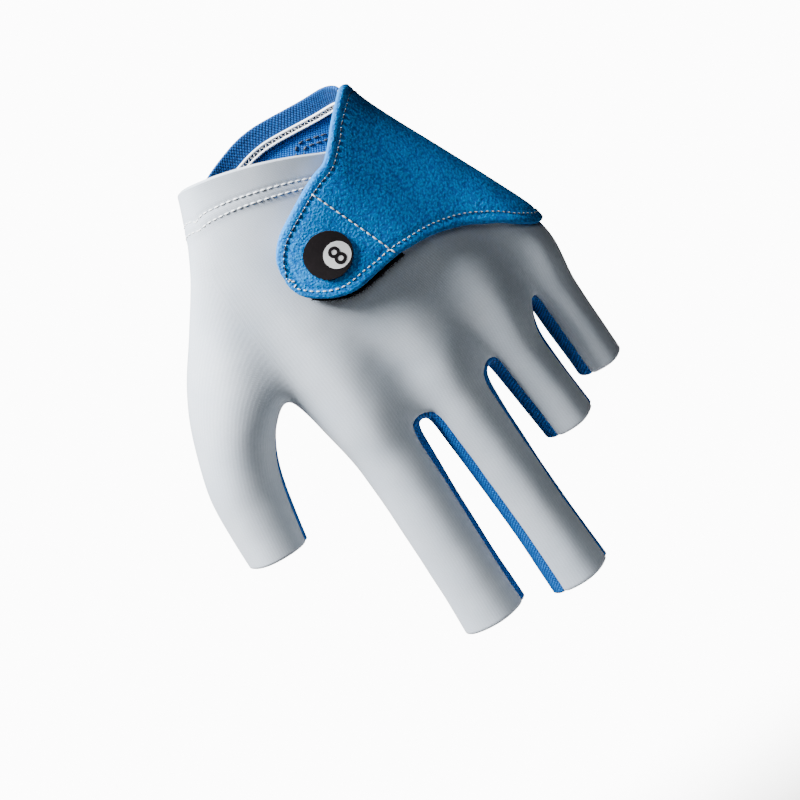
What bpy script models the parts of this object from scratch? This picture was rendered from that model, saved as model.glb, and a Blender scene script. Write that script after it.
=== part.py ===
"""Billiard glove for the left hand, in the shape that it has when worn.

The hand points down: +X is the little-finger side, +Y the palm, +Z the forearm.
The origin is the middle of the wrist opening. All lengths are in metres.

One cage of four-sided faces follows the hand: 26 columns round the palm, 8 round each finger.
Its smooth surface is cut along the seams into the sewn panels. The strap, its fastener and
the badge are then laid on that surface, one over the other.
"""

import math

import bmesh
import bpy
from mathutils import Vector
from mathutils.bvhtree import BVHTree

# Hand sizes over the fabric
WRIST_WIDTH = 0.0585
WRIST_DEPTH = 0.041
HAND_WIDTH = 0.0905
HAND_DEPTH = 0.0265
PALM_LENGTH = 0.098
FINGER_GAP = 0.0022
INDEX_LENGTH = 0.066
MIDDLE_LENGTH = 0.071
RING_LENGTH = 0.032
LITTLE_LENGTH = 0.032
THUMB_REACH = 0.0667
THUMB_DROP = 0.111
THUMB_WIDTH = 0.0205

# Fabric and trim
BACK_WALL = 0.0012
MESH_WALL = 0.0012
ELASTIC_WALL = 0.0014
ELASTIC_WIDTH = 0.0068
NOTCH_DEPTH = 0.0155
SEAM_GAP = 0.00036

# Strap, fastener and badge
STRAP_THICKNESS = 0.0014
STRAP_CLEARANCE = 0.00075
PAD_THICKNESS = 0.0007
PAD_CLEARANCE = 0.0004
HOOK_MARGIN = 0.0022
LOOP_PEEK = 0.0021
LOOP_MARGIN = 0.0033
BADGE_DIAMETER = 0.0146
BADGE_THICKNESS = 0.0005
BADGE_CLEARANCE = 0.0003

# The panels that the form is cut into
PANELS = (
    "back_panel",
    "palm_panel",
    "cuff_elastic",
    "fourchette_index_middle",
    "fourchette_middle_ring",
    "fourchette_ring_little",
)

# Turn of the eight points of a finger section from its back, in degrees:
# back left, back, back right, right, palm right, palm, palm left, left
FINGER_TURNS = (-66, -4, 57, 97, 137, 180, 223, 263)
BACK_LEFT, BACK, BACK_RIGHT, RIGHT, PALM_RIGHT, PALM, PALM_LEFT, LEFT = range(8)

# The cage's columns round the palm: 12 on the back, the little-finger side, 12 on the palm, the thumb side
BACK_COLUMNS = 12
LITTLE_SIDE = 12
THUMB_SIDE = 25

# Turn of the last column on each side of the back from its middle, in degrees
WRIST_BACK_TURN = 68

# Share of the thumb side's reach in the columns next to it
THUMB_SIDE_SHARES = {THUMB_SIDE: 1, 0: 0.5, THUMB_SIDE - 1: 0.5, 1: 0.15, THUMB_SIDE - 2: 0.15}

# A subdivision surface lies inside its cage, by about a tenth of the radius of an eight-sided finger
# section and a fiftieth of that of the wrist
FINGER_SWELL_SHARE = 1.10
WRIST_SWELL_SHARE = 1.02

# Fingers at the crotch line. across, rise and drop are shares of the hand's width, depth and the palm's
# length; width and depth are shares of the hand's width and depth. spread, bend and turn are degrees, and
# so are left and right, by which the seams of each side lie further round, from a third of the length on.
FINGERS = (
    dict(name="index", across=-0.232, rise=0.02, drop=1.00, width=0.272, depth=0.90, length=INDEX_LENGTH,
         spread=-2.2, bend=2.0, turn=-6, left=12, right=12),
    dict(name="middle", across=0.055, rise=0.10, drop=1.01, width=0.262, depth=0.90, length=MIDDLE_LENGTH,
         spread=0.6, bend=2.0, turn=2, left=-3, right=20),
    dict(name="ring", across=0.313, rise=0.02, drop=0.985, width=0.232, depth=0.88, length=RING_LENGTH,
         spread=4.0, bend=4.0, turn=8, left=-6, right=14),
    dict(name="little", across=0.540, rise=-0.14, drop=0.905, width=0.202, depth=0.80, length=LITTLE_LENGTH,
         spread=2.0, bend=5.0, turn=12, left=-6, right=10),
)

# Sections along a finger: share of its length, and width and depth as shares of those at the crotch
FINGER_SECTIONS = (
    dict(along=0.00, width=1.00, depth=1.00),
    dict(along=0.10, width=0.97, depth=0.97),
    dict(along=0.32, width=0.94, depth=0.93),
    dict(along=0.56, width=0.91, depth=0.90),
    dict(along=0.80, width=0.92, depth=0.89),
    dict(along=1.00, width=0.96, depth=0.90),
)
SHORT_SECTIONS = (
    dict(along=0.00, width=1.00, depth=1.00),
    dict(along=0.22, width=0.96, depth=0.97),
    dict(along=0.60, width=0.94, depth=0.94),
    dict(along=1.00, width=0.93, depth=0.92),
)

# Sections of the thumb from its root: out and down are shares of the thumb's reach and drop, forward of
# the hand's depth, width and depth of the thumb's width; lean and turn are degrees.
THUMB_SECTIONS = (
    dict(out=0.765, down=0.535, forward=0.20, width=1.50, depth=1.42, lean=-62, turn=-17),
    dict(out=0.865, down=0.640, forward=0.30, width=1.24, depth=1.30, lean=-40, turn=-23),
    dict(out=0.945, down=0.765, forward=0.38, width=1.15, depth=1.14, lean=-12, turn=-30),
    dict(out=0.975, down=0.880, forward=0.42, width=1.06, depth=1.04, lean=-6, turn=-34),
    dict(out=0.998, down=0.983, forward=0.44, width=0.97, depth=0.97, lean=-6, turn=-34),
)

# Shape of the palm by drop, the share of its length below the wrist. widen and flatten are the shares of
# the change from the wrist's oval to the row of fingers, and valley that of the dips between them.
# knuckle, thenar and heel are lifts as shares of the hand's depth, and thumb_side reaches outwards
# as a share of the hand's width.
PALM_PROFILE = (
    dict(drop=-0.12, widen=-0.02, flatten=-0.05, valley=0, knuckle=0, thenar=0, heel=0, thumb_side=-0.020),
    dict(drop=0.00, widen=0.00, flatten=0.00, valley=0, knuckle=0, thenar=0.00, heel=0.00, thumb_side=0.005),
    dict(drop=0.11, widen=0.08, flatten=0.10, valley=0, knuckle=0, thenar=0.04, heel=0.04, thumb_side=0.065),
    dict(drop=0.26, widen=0.285, flatten=0.28, valley=0, knuckle=0, thenar=0.20, heel=0.12, thumb_side=0.150),
    dict(drop=0.44, widen=0.54, flatten=0.52, valley=0, knuckle=0, thenar=0.30, heel=0.16, thumb_side=0.13),
    dict(drop=0.66, widen=0.865, flatten=0.76, valley=0.25, knuckle=0.04, thenar=0.16, heel=0.12,
         thumb_side=0.07),
    dict(drop=0.84, widen=1.07, flatten=0.90, valley=0.75, knuckle=0.10, thenar=0.04, heel=0.06,
         thumb_side=0.03),
    dict(drop=1.00, widen=1.00, flatten=1.00, valley=1, knuckle=0.04, thenar=0.00, heel=0.00, thumb_side=0),
)

# Rows of the palm's cage, as shares of the way from below the hem to the crotch line
PALM_ROWS = (0.00, 0.1875, 0.390, 0.667, 0.845)
THUMB_ROOT_ROWS = (2, 3, 4)

# How far the guide that carries the strap goes on above the wrist, where the strap bridges the notch
GUIDE_RISE = 0.010

# Upper edge at the wrist: turn round the wrist from the back in degrees, rise as a share of the notch depth
WRIST_EDGE = (
    dict(turn=-180, rise=0.06),
    dict(turn=-150, rise=-0.15),
    dict(turn=-115, rise=-0.35),
    dict(turn=-92, rise=0.05),
    dict(turn=-50, rise=0.11),
    dict(turn=-20, rise=-0.11),
    dict(turn=5, rise=-0.50),
    dict(turn=30, rise=-1.00),
    dict(turn=50, rise=-0.92),
    dict(turn=75, rise=-0.30),
    dict(turn=100, rise=-0.02),
    dict(turn=140, rise=-0.04),
    dict(turn=180, rise=0.06),
)

# The strap from the tip of its tab to its root on the palm. Each line across it runs from its upper to its
# lower edge: the turn round the hand from the middle of the back in degrees, and the drop below the wrist
# as a share of the palm's length. lift is the share of the fastener's height that the strap stands off.
STRAP_LINES = (
    dict(upper_turn=-63.6, upper=0.372, lower_turn=-64.1, lower=0.398, lift=1),
    dict(upper_turn=-62.3, upper=0.337, lower_turn=-63.7, lower=0.428, lift=1),
    dict(upper_turn=-58.5, upper=0.292, lower_turn=-61.0, lower=0.460, lift=1),
    dict(upper_turn=-49.5, upper=0.245, lower_turn=-54.5, lower=0.494, lift=1),
    dict(upper_turn=-36.0, upper=0.209, lower_turn=-44.5, lower=0.511, lift=1),
    dict(upper_turn=-17.0, upper=0.173, lower_turn=-26.0, lower=0.505, lift=1),
    dict(upper_turn=0.0, upper=0.150, lower_turn=-5.0, lower=0.499, lift=1),
    dict(upper_turn=13.5, upper=0.139, lower_turn=12.0, lower=0.506, lift=0.9),
    dict(upper_turn=29.0, upper=0.103, lower_turn=30.0, lower=0.519, lift=0.45),
    dict(upper_turn=43.5, upper=0.061, lower_turn=46.0, lower=0.542, lift=0.10),
    dict(upper_turn=57.0, upper=0.026, lower_turn=59.0, lower=0.573, lift=0),
    dict(upper_turn=68.5, upper=0.006, lower_turn=68.0, lower=0.622, lift=0),
    dict(upper_turn=80.0, upper=0.018, lower_turn=75.0, lower=0.686, lift=0),
    dict(upper_turn=91.0, upper=0.036, lower_turn=83.0, lower=0.722, lift=0),
    dict(upper_turn=102.0, upper=0.054, lower_turn=95.0, lower=0.728, lift=0),
    dict(upper_turn=113.0, upper=0.073, lower_turn=107.0, lower=0.712, lift=0),
    dict(upper_turn=124.0, upper=0.096, lower_turn=118.0, lower=0.680, lift=0),
    dict(upper_turn=137.0, upper=0.120, lower_turn=128.0, lower=0.640, lift=0),
    dict(upper_turn=152.0, upper=0.145, lower_turn=140.0, lower=0.590, lift=0),
    dict(upper_turn=168.0, upper=0.170, lower_turn=155.0, lower=0.540, lift=0),
    dict(upper_turn=181.0, upper=0.205, lower_turn=170.0, lower=0.480, lift=0),
    dict(upper_turn=188.0, upper=0.265, lower_turn=183.0, lower=0.410, lift=0),
)

# How far the axis that the turns are measured from follows the widening of the little-finger side
AXIS_SHARE = 0.8

# The stretches of the strap that the two pads lie under, as line numbers of the table above
LOOP_LINES = (1.6, 6.3)
HOOK_LINES = (1.0, 6.0)

# The badge's place on the tab: its turn in degrees and its drop as a share of the palm's length, and how
# far it faces sideways with the tab
BADGE_TURN = -37.8
BADGE_DROP_SHARE = 0.373
BADGE_LEAN_SHARE = 0.5

# Colours
GREY_FABRIC = (0.62, 0.66, 0.70, 1)
BLUE_MESH = (0.02, 0.13, 0.45, 1)
BLUE_ELASTIC = (0.01, 0.09, 0.32, 1)
BLUE_SUEDE = (0.02, 0.28, 0.62, 1)
BLACK_PILE = (0.01, 0.01, 0.012, 1)
BLACK_PRINT = (0.015, 0.013, 0.014, 1)


def clear_scene():
    for obj in list(bpy.data.objects):
        bpy.data.objects.remove(obj, do_unlink=True)


def new_collection(name):
    collection = bpy.data.collections.new(name)
    bpy.context.scene.collection.children.link(collection)
    return collection


def material(name, colour, roughness):
    made = bpy.data.materials.new(name)
    made.use_nodes = True
    shader = made.node_tree.nodes["Principled BSDF"]
    shader.inputs["Base Color"].default_value = colour
    shader.inputs["Roughness"].default_value = roughness
    shader.inputs["Metallic"].default_value = 0
    return made


def mix(a, b, share):
    return a + (b - a) * share


def smooth_step(low, high, value):
    share = min(1, max(0, (value - low) / (high - low)))
    return share * share * (3 - 2 * share)


def curve_through(rows, key, column, value):
    """The smooth curve through a table's column at value of its key column."""
    last = len(rows) - 2
    keys = [row[key] for row in rows]
    rising = keys[-1] > keys[0]
    i = 0
    while i < last and ((value > keys[i + 1]) == rising):
        i += 1
    before, a = rows[max(i - 1, 0)], rows[i]
    b, after = rows[i + 1], rows[min(i + 2, last + 1)]
    share = min(1, max(0, (value - a[key]) / (b[key] - a[key])))
    span = b[key] - a[key]
    slope_a = (b[column] - before[column]) / (b[key] - before[key]) * span
    slope_b = (after[column] - a[column]) / (after[key] - a[key]) * span
    square, cube = share**2, share**3
    return (
        (2 * cube - 3 * square + 1) * a[column]
        + (cube - 2 * square + share) * slope_a
        + (3 * square - 2 * cube) * b[column]
        + (cube - square) * slope_b
    )


def curve_at(rows, column, position):
    """The smooth curve through a table's column, where position is a row number with its fraction."""
    last = len(rows) - 2
    i = min(int(position), last)
    share = position - i
    before, a, b, after = (rows[min(max(k, 0), last + 1)][column] for k in (i - 1, i, i + 1, i + 2))
    slope_a, slope_b = (b - before) / 2, (after - a) / 2
    square, cube = share**2, share**3
    return (
        (2 * cube - 3 * square + 1) * a
        + (cube - 2 * square + share) * slope_a
        + (3 * square - 2 * cube) * b
        + (cube - square) * slope_b
    )


def section_points(centre, across, back, width, depth, turn, left=0, right=0):
    """The eight points of a finger section. across and back are its unit directions before it is turned."""
    angle = math.radians(turn)
    side = across * math.cos(angle) - back * math.sin(angle)
    top = back * math.cos(angle) + across * math.sin(angle)
    middle = (left + right) / 2
    points = []
    for degrees, shift in zip(FINGER_TURNS, (left, middle, right, right, right, middle, left, left)):
        a = math.radians(degrees + shift)
        reach = side * math.sin(a) * width / 2 + top * math.cos(a) * depth / 2
        points.append(centre + reach * FINGER_SWELL_SHARE)
    return points


def finger_centre(finger):
    """Middle of a finger's section at the crotch line."""
    return Vector((
        finger["across"] * HAND_WIDTH,
        -finger["rise"] * HAND_DEPTH,
        -finger["drop"] * PALM_LENGTH,
    ))


def finger_sections(finger):
    """Rings of eight points from the crotch line to the open fingertip."""
    spread, bend = math.radians(finger["spread"]), math.radians(finger["bend"])
    along = Vector((math.sin(spread), math.sin(bend), -math.cos(spread) * math.cos(bend))).normalized()
    table = FINGER_SECTIONS if finger["length"] > 2 * RING_LENGTH else SHORT_SECTIONS
    width = finger["width"] * HAND_WIDTH - FINGER_GAP
    depth = finger["depth"] * HAND_DEPTH
    rings = []
    for row in table:
        level = along * row["along"] * finger["length"]
        eased = smooth_step(0, 0.3, row["along"])
        direction = Vector((0, 0, -1)).lerp(along, eased).normalized()
        across = Vector((1, 0, 0))
        across = (across - direction * across.dot(direction)).normalized()
        back = across.cross(direction).normalized()
        if back.y > 0:
            back.negate()
        rings.append(section_points(finger_centre(finger) + level, across, back, width * row["width"],
                                    depth * row["depth"], finger["turn"],
                                    finger["left"] * eased, finger["right"] * eased))
    return rings


def thumb_rings():
    """Rings of eight points from the thumb's root to its open tip."""
    rings = []
    for row in THUMB_SECTIONS:
        centre = Vector((-row["out"] * THUMB_REACH, row["forward"] * HAND_DEPTH, -row["down"] * THUMB_DROP))
        lean = math.radians(row["lean"])
        across = Vector((math.cos(lean), 0, math.sin(lean)))
        rings.append(section_points(centre, across, Vector((0, -1, 0)),
                                    row["width"] * THUMB_WIDTH, row["depth"] * THUMB_WIDTH, row["turn"]))
    return rings


def palm_columns(finger_bases):
    """The crotch-line ring of 26 points: 12 on the back, one at each side and 12 on the palm."""
    back = [base[i] for base in finger_bases for i in (BACK_LEFT, BACK, BACK_RIGHT)]
    palm = [base[i] for base in reversed(finger_bases) for i in (PALM_RIGHT, PALM, PALM_LEFT)]
    return back + [finger_bases[-1][RIGHT]] + palm + [finger_bases[0][LEFT]]


def wrist_turn(column):
    """Turn of a column round the wrist, in degrees from the middle of the back."""
    if column < BACK_COLUMNS:
        return mix(-WRIST_BACK_TURN, WRIST_BACK_TURN, column / (BACK_COLUMNS - 1))
    if column == LITTLE_SIDE:
        return 90
    if column == THUMB_SIDE:
        return 270
    return mix(180 - WRIST_BACK_TURN, 180 + WRIST_BACK_TURN, (column - LITTLE_SIDE - 1) / (BACK_COLUMNS - 1))


def wrist_point(column):
    """A point of the wrist's oval, at the level of the origin."""
    angle = math.radians(wrist_turn(column))
    return Vector((
        math.sin(angle) * WRIST_WIDTH / 2 * WRIST_SWELL_SHARE,
        -math.cos(angle) * WRIST_DEPTH / 2 * WRIST_SWELL_SHARE,
        0,
    ))


def wrist_rise(column):
    turn = wrist_turn(column)
    turn = turn - 360 if turn > 180 else turn
    return curve_through(WRIST_EDGE, "turn", "rise", turn) * NOTCH_DEPTH


def palm_point(column, knuckle, bridge, height, guide):
    """A point of the palm's cage at that height, between the wrist's oval and the crotch line.

    The strap's guide has no valleys between the knuckles, as the strap bridges them.
    """
    wrist = wrist_point(column)
    drop = height / knuckle.z

    def profile(name):
        return curve_through(PALM_PROFILE, "drop", name, drop)

    valley = 0 if guide else profile("valley")
    point = Vector((
        mix(wrist.x, knuckle.x, profile("widen")),
        mix(wrist.y, mix(bridge.y, knuckle.y, valley), profile("flatten")),
        height,
    ))
    if column < BACK_COLUMNS and column % 3 == 1:
        point.y -= profile("knuckle") * HAND_DEPTH
    elif LITTLE_SIDE < column < THUMB_SIDE:
        share = (column - LITTLE_SIDE - 1) / (BACK_COLUMNS - 1)
        point.y += profile("thenar") * smooth_step(0.45, 0.9, share) * HAND_DEPTH
        point.y += profile("heel") * smooth_step(0.45, 0.0, share) * HAND_DEPTH
    point.x -= THUMB_SIDE_SHARES.get(column, 0) * profile("thumb_side") * HAND_WIDTH
    return point


def bridge_valleys(crotch_line):
    """The crotch line with the valleys between the fingers filled up to the fingers' middles."""
    bridged = [point.copy() for point in crotch_line]
    for first in (0, LITTLE_SIDE + 1):
        for column in range(2, BACK_COLUMNS - 2):
            if column % 3 != 1:
                left = first + column - (1 if column % 3 == 2 else 2)
                a, b, point = crotch_line[left], crotch_line[left + 3], bridged[first + column]
                point.y = mix(a.y, b.y, (point.x - a.x) / (b.x - a.x))
    return bridged


def palm_rows(crotch_line, guide):
    """Rings of 26 points from the wrist edge to the crotch line. The guide starts above the wrist."""
    bridged = bridge_valleys(crotch_line)
    rows = [[], *[[] for _ in PALM_ROWS], bridged if guide else list(crotch_line)]
    crown = []
    for column, (knuckle, bridge) in enumerate(zip(crotch_line, bridged)):
        rise = wrist_rise(column)
        crown.append(palm_point(column, knuckle, bridge, GUIDE_RISE, guide))
        rows[0].append(palm_point(column, knuckle, bridge, rise, guide))
        for number, along in enumerate(PALM_ROWS, 1):
            height = mix(rise - ELASTIC_WIDTH, knuckle.z, along)
            rows[number].append(palm_point(column, knuckle, bridge, height, guide))
    return rows, crown


def form_cage(guide):
    """The whole glove as one cage. Each face's piece attribute names the panel that it belongs to.

    The guide goes on above the wrist, where the strap bridges the notch.
    """
    bm = bmesh.new()
    piece = bm.faces.layers.int.new("piece")

    def add_ring(points):
        return [bm.verts.new(point) for point in points]

    def add_face(corners, name):
        face = bm.faces.new(corners)
        face[piece] = PANELS.index(name)

    def join_rings(upper, lower, names):
        count = len(upper)
        for i in range(count):
            j = (i + 1) % count
            if names[i]:
                add_face((upper[i], lower[i], lower[j], upper[j]), names[i])

    fingers = [finger_sections(finger) for finger in FINGERS]
    palm, crown = palm_rows(palm_columns([rings[0] for rings in fingers]), guide)
    rows = [add_ring(points) for points in palm]

    back_names = ["back_panel"] * (LITTLE_SIDE + 1)
    palm_names = ["palm_panel"] * (BACK_COLUMNS - 1)
    side_names = ["back_panel"] * 2
    elastic_names = ["back_panel"] * LITTLE_SIDE + ["cuff_elastic"] * BACK_COLUMNS
    for number in range(len(rows) - 1):
        names = (elastic_names if number == 0 else back_names + palm_names) + side_names
        if number in THUMB_ROOT_ROWS[:2]:
            names = names[:THUMB_SIDE - 1] + [None, None]
        join_rings(rows[number], rows[number + 1], names)

    crotch = rows[-1]
    webs = ["fourchette_index_middle", "fourchette_middle_ring", "fourchette_ring_little"]
    bases = []
    for number in range(4):
        first = 3 * number
        inner = LITTLE_SIDE + 1 + 3 * (3 - number)
        bases.append([*crotch[first:first + 3], None, *crotch[inner:inner + 3], None])
    bases[0][LEFT] = crotch[THUMB_SIDE]
    bases[3][RIGHT] = crotch[LITTLE_SIDE]
    for number, name in enumerate(webs):
        left, right = bases[number], bases[number + 1]
        left[RIGHT] = bm.verts.new(fingers[number][0][RIGHT])
        right[LEFT] = bm.verts.new(fingers[number + 1][0][LEFT])
        add_face((left[BACK_RIGHT], left[RIGHT], right[LEFT], right[BACK_LEFT]), name)
        add_face((left[RIGHT], left[PALM_RIGHT], right[PALM_LEFT], right[LEFT]), name)

    for number, base in enumerate(bases):
        left_web = webs[number - 1] if number > 0 else "back_panel"
        right_web = webs[number] if number < 3 else "back_panel"
        names = ["back_panel"] * 2 + [right_web] * 2 + ["palm_panel"] * 2 + [left_web] * 2
        upper = base
        for points in fingers[number][1:]:
            lower = add_ring(points)
            join_rings(upper, lower, names)
            upper = lower

    if guide:
        join_rings(add_ring(crown), rows[0], back_names + palm_names + side_names)

    first, middle, last = (rows[i] for i in THUMB_ROOT_ROWS)
    edge = LITTLE_SIDE + BACK_COLUMNS
    root = [first[0], middle[0], last[0], last[THUMB_SIDE],
            last[edge], middle[edge], first[edge], first[THUMB_SIDE]]
    names = ["back_panel"] * 3 + ["palm_panel"] * 3 + ["back_panel"] * 2
    upper = root
    for points in thumb_rings():
        lower = add_ring(points)
        join_rings(upper, lower, names)
        upper = lower
    bmesh.ops.delete(bm, geom=[vert for vert in bm.verts if not vert.link_faces], context="VERTS")
    bmesh.ops.recalc_face_normals(bm, faces=bm.faces[:])
    return bm


def smooth_form(guides, levels, guide=False):
    """The cage's subdivision surface as a mesh, with the piece attribute on its faces."""
    mesh = bpy.data.meshes.new("form_cage")
    bm = form_cage(guide)
    bm.to_mesh(mesh)
    bm.free()
    cage = bpy.data.objects.new("form_cage", mesh)
    guides.objects.link(cage)
    cage.hide_render = True
    cage.display_type = "WIRE"
    smoothing = cage.modifiers.new("smooth", "SUBSURF")
    smoothing.levels = smoothing.render_levels = levels
    graph = bpy.context.evaluated_depsgraph_get()
    form = bpy.data.meshes.new_from_object(cage.evaluated_get(graph))
    bpy.data.objects.remove(cage)
    return form


def finish(name, bm, collection, finish_material):
    bmesh.ops.recalc_face_normals(bm, faces=bm.faces[:])
    mesh = bpy.data.meshes.new(name)
    bm.to_mesh(mesh)
    bm.free()
    obj = bpy.data.objects.new(name, mesh)
    collection.objects.link(obj)
    mesh.materials.append(finish_material)
    mesh.shade_smooth()
    mesh.set_sharp_from_angle(angle=math.radians(45))
    return obj


def wall_from_sheet(bm, normals, thickness):
    """Gives an open sheet its thickness inwards along the stored normals, and closes its edges."""
    inner = list(bm.verts)
    directions = {vert: Vector(vert[normals]) for vert in inner}
    bmesh.ops.extrude_face_region(bm, geom=bm.faces[:], use_keep_orig=True)
    for vert in inner:
        vert.co -= directions[vert] * thickness


def panel(name, form, wall, collection, finish_material):
    """One sewn panel: its faces of the form, drawn back from the seams by half the gap, with its wall."""
    bm = bmesh.new()
    bm.from_mesh(form)
    bm.verts.ensure_lookup_table()
    normals = bm.verts.layers.float_vector.new("outward")
    opening = bm.verts.layers.int.new("opening")
    for vert in bm.verts:
        vert[normals] = form.vertices[vert.index].normal
        vert[opening] = vert.is_boundary
    piece = bm.faces.layers.int["piece"]
    number = PANELS.index(name)
    others = [face for face in bm.faces if face[piece] != number]
    bmesh.ops.delete(bm, geom=others, context="FACES")
    shifts = {}
    for vert in bm.verts:
        seams = [edge for edge in vert.link_edges
                 if edge.is_boundary and not all(end[opening] for end in edge.verts)]
        if not seams:
            continue
        pull = Vector((0, 0, 0))
        for edge in seams:
            face = edge.link_faces[0]
            run = (edge.verts[1].co - edge.verts[0].co).normalized()
            inward = face.calc_center_median() - (edge.verts[0].co + edge.verts[1].co) / 2
            pull += (inward - run * inward.dot(run)).normalized()
        if pull.length > 1e-6:
            reach = pull.normalized()
            shifts[vert] = reach * SEAM_GAP / 2 / max(0.6, pull.length / len(seams))
    for vert, shift in shifts.items():
        vert.co += shift
    wall_from_sheet(bm, normals, wall)
    return finish(name, bm, collection, finish_material)


def hand_axis(height):
    """A point inside the palm at that height, from which the strap's turns are measured."""
    share = -height / PALM_LENGTH
    return Vector((share * (HAND_WIDTH - WRIST_WIDTH) * AXIS_SHARE, 0, height))


def on_form(tree, turn, drop):
    """The point of the glove's outside at that turn, and that share of the palm's length below the wrist."""
    angle = math.radians(turn)
    outward = Vector((math.sin(angle), -math.cos(angle), 0))
    start = hand_axis(-drop * PALM_LENGTH)
    reach = HAND_WIDTH
    return tree.ray_cast(start, outward, reach)[0]


def laid_sheet(name, tree, lines, steps, strips, heights, thickness, collection, finish_material):
    """A sheet laid round the hand along a table of lines across it, with steps faces from line to line.

    heights gives each line's distance from the glove, and the thickness stands on that.
    """
    bm = bmesh.new()
    normals = bm.verts.layers.float_vector.new("outward")
    grid = []
    for i in range(steps * (len(lines) - 1) + 1):
        upper_turn, upper, lower_turn, lower, lift = (
            curve_at(lines, column, i / steps)
            for column in ("upper_turn", "upper", "lower_turn", "lower", "lift"))
        row = []
        for j in range(strips + 1):
            point = on_form(tree, mix(upper_turn, lower_turn, j / strips), mix(upper, lower, j / strips))
            row.append((bm.verts.new(point), heights(lift)))
        grid.append(row)
    for above, below in zip(grid, grid[1:]):
        for j in range(strips):
            bm.faces.new((above[j][0], above[j + 1][0], below[j + 1][0], below[j][0]))
    bm.normal_update()
    middle = grid[len(grid) // 2][strips // 2][0]
    side = 1 if middle.normal.dot(middle.co - hand_axis(middle.co.z)) > 0 else -1
    for row in grid:
        for vert, height in row:
            vert[normals] = vert.normal * side
            vert.co += vert.normal * side * (height + thickness)
    wall_from_sheet(bm, normals, thickness)
    return finish(name, bm, collection, finish_material)


def pad_lines(first, last, upper_margin, lower_margin):
    """The strap's lines between two line numbers, drawn in from its upper and lower edge."""
    lines = []
    count = 6
    for i in range(count + 1):
        position = mix(first, last, i / count)
        line = {column: curve_at(STRAP_LINES, column, position) for column in STRAP_LINES[0]}
        line["upper"] += upper_margin / PALM_LENGTH
        line["lower"] -= lower_margin / PALM_LENGTH
        lines.append(line)
    return lines


def laid_disc(name, tree, centre, outward, diameter, low, thickness, collection, finish_material):
    """A round sheet laid on the strap."""
    bm = bmesh.new()
    normals = bm.verts.layers.float_vector.new("outward")
    side = outward.cross(Vector((0, 0, 1))).normalized()
    up = side.cross(outward).normalized()
    rings, spokes = 3, 32
    middle = bm.verts.new((0, 0, 0))
    levels = []
    for ring in range(1, rings + 1):
        radius = diameter / 2 * ring / rings
        levels.append([bm.verts.new((radius * math.cos(math.tau * k / spokes),
                                     radius * math.sin(math.tau * k / spokes), 0)) for k in range(spokes)])
    for k in range(spokes):
        n = (k + 1) % spokes
        bm.faces.new((middle, levels[0][k], levels[0][n]))
        for ring in range(rings - 1):
            bm.faces.new((levels[ring][k], levels[ring + 1][k], levels[ring + 1][n], levels[ring][n]))
    reach = diameter
    for vert in bm.verts:
        start = centre + side * vert.co.x + up * vert.co.y + outward * reach
        vert.co = tree.ray_cast(start, -outward)[0]
    bmesh.ops.recalc_face_normals(bm, faces=bm.faces[:])
    bm.normal_update()
    sign = 1 if middle.normal.dot(outward) > 0 else -1
    for vert in bm.verts:
        vert[normals] = vert.normal * sign
    for vert in bm.verts:
        vert.co += Vector(vert[normals]) * (low + thickness)
    wall_from_sheet(bm, normals, thickness)
    return finish(name, bm, collection, finish_material)


def tree_of(mesh):
    bm = bmesh.new()
    bm.from_mesh(mesh)
    tree = BVHTree.FromBMesh(bm)
    bm.free()
    return tree


def build():
    clear_scene()
    parts = new_collection("billiard_glove")
    guides = new_collection("guides")
    guides.hide_render = True

    grey = material("grey_stretch_fabric", GREY_FABRIC, 0.75)
    mesh_blue = material("blue_mesh", BLUE_MESH, 0.8)
    elastic = material("blue_elastic", BLUE_ELASTIC, 0.85)
    suede = material("blue_suede", BLUE_SUEDE, 0.9)
    pile = material("black_pile", BLACK_PILE, 1.0)
    print_black = material("black_print", BLACK_PRINT, 0.5)

    form = smooth_form(guides, 1)
    panel_finish = {"back_panel": (BACK_WALL, grey), "cuff_elastic": (ELASTIC_WALL, elastic)}
    for name in PANELS:
        wall, finish_material = panel_finish.get(name, (MESH_WALL, mesh_blue))
        panel(name, form, wall, parts, finish_material)

    bpy.data.meshes.remove(form)
    guide = smooth_form(guides, 2, guide=True)
    tree = tree_of(guide)
    bpy.data.meshes.remove(guide)

    loop_top = PAD_CLEARANCE + PAD_THICKNESS
    hook_low = loop_top + PAD_CLEARANCE
    strap_high = hook_low + PAD_THICKNESS + PAD_CLEARANCE

    def strap_height(lift):
        return mix(STRAP_CLEARANCE, strap_high, lift)

    laid_sheet("loop_pad", tree, pad_lines(*LOOP_LINES, LOOP_MARGIN, -LOOP_PEEK), 2, 6,
               lambda lift: PAD_CLEARANCE, PAD_THICKNESS, parts, pile)
    laid_sheet("hook_pad", tree, pad_lines(*HOOK_LINES, HOOK_MARGIN, HOOK_MARGIN), 2, 6,
               lambda lift: hook_low, PAD_THICKNESS, parts, pile)
    strap = laid_sheet("strap", tree, STRAP_LINES, 3, 8,
                       strap_height, STRAP_THICKNESS, parts, suede)
    centre = on_form(tree, BADGE_TURN, BADGE_DROP_SHARE)
    angle = math.radians(BADGE_TURN)
    outward = Vector((math.sin(angle) * BADGE_LEAN_SHARE, -math.cos(angle), 0)).normalized()
    laid_disc("ball_badge", tree_of(strap.data), centre, outward, BADGE_DIAMETER,
              BADGE_CLEARANCE, BADGE_THICKNESS, parts, print_black)


build()
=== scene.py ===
"""Looks of the billiard glove: its cloth, threads, strap and badge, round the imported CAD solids.

The hand points down: +X is the little-finger side, +Y the palm, +Z the forearm. Lengths are in metres.
"""

import math

import bmesh
import bpy
from mathutils import Matrix, Vector, noise
from mathutils.bvhtree import BVHTree
from mathutils.kdtree import KDTree


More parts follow.
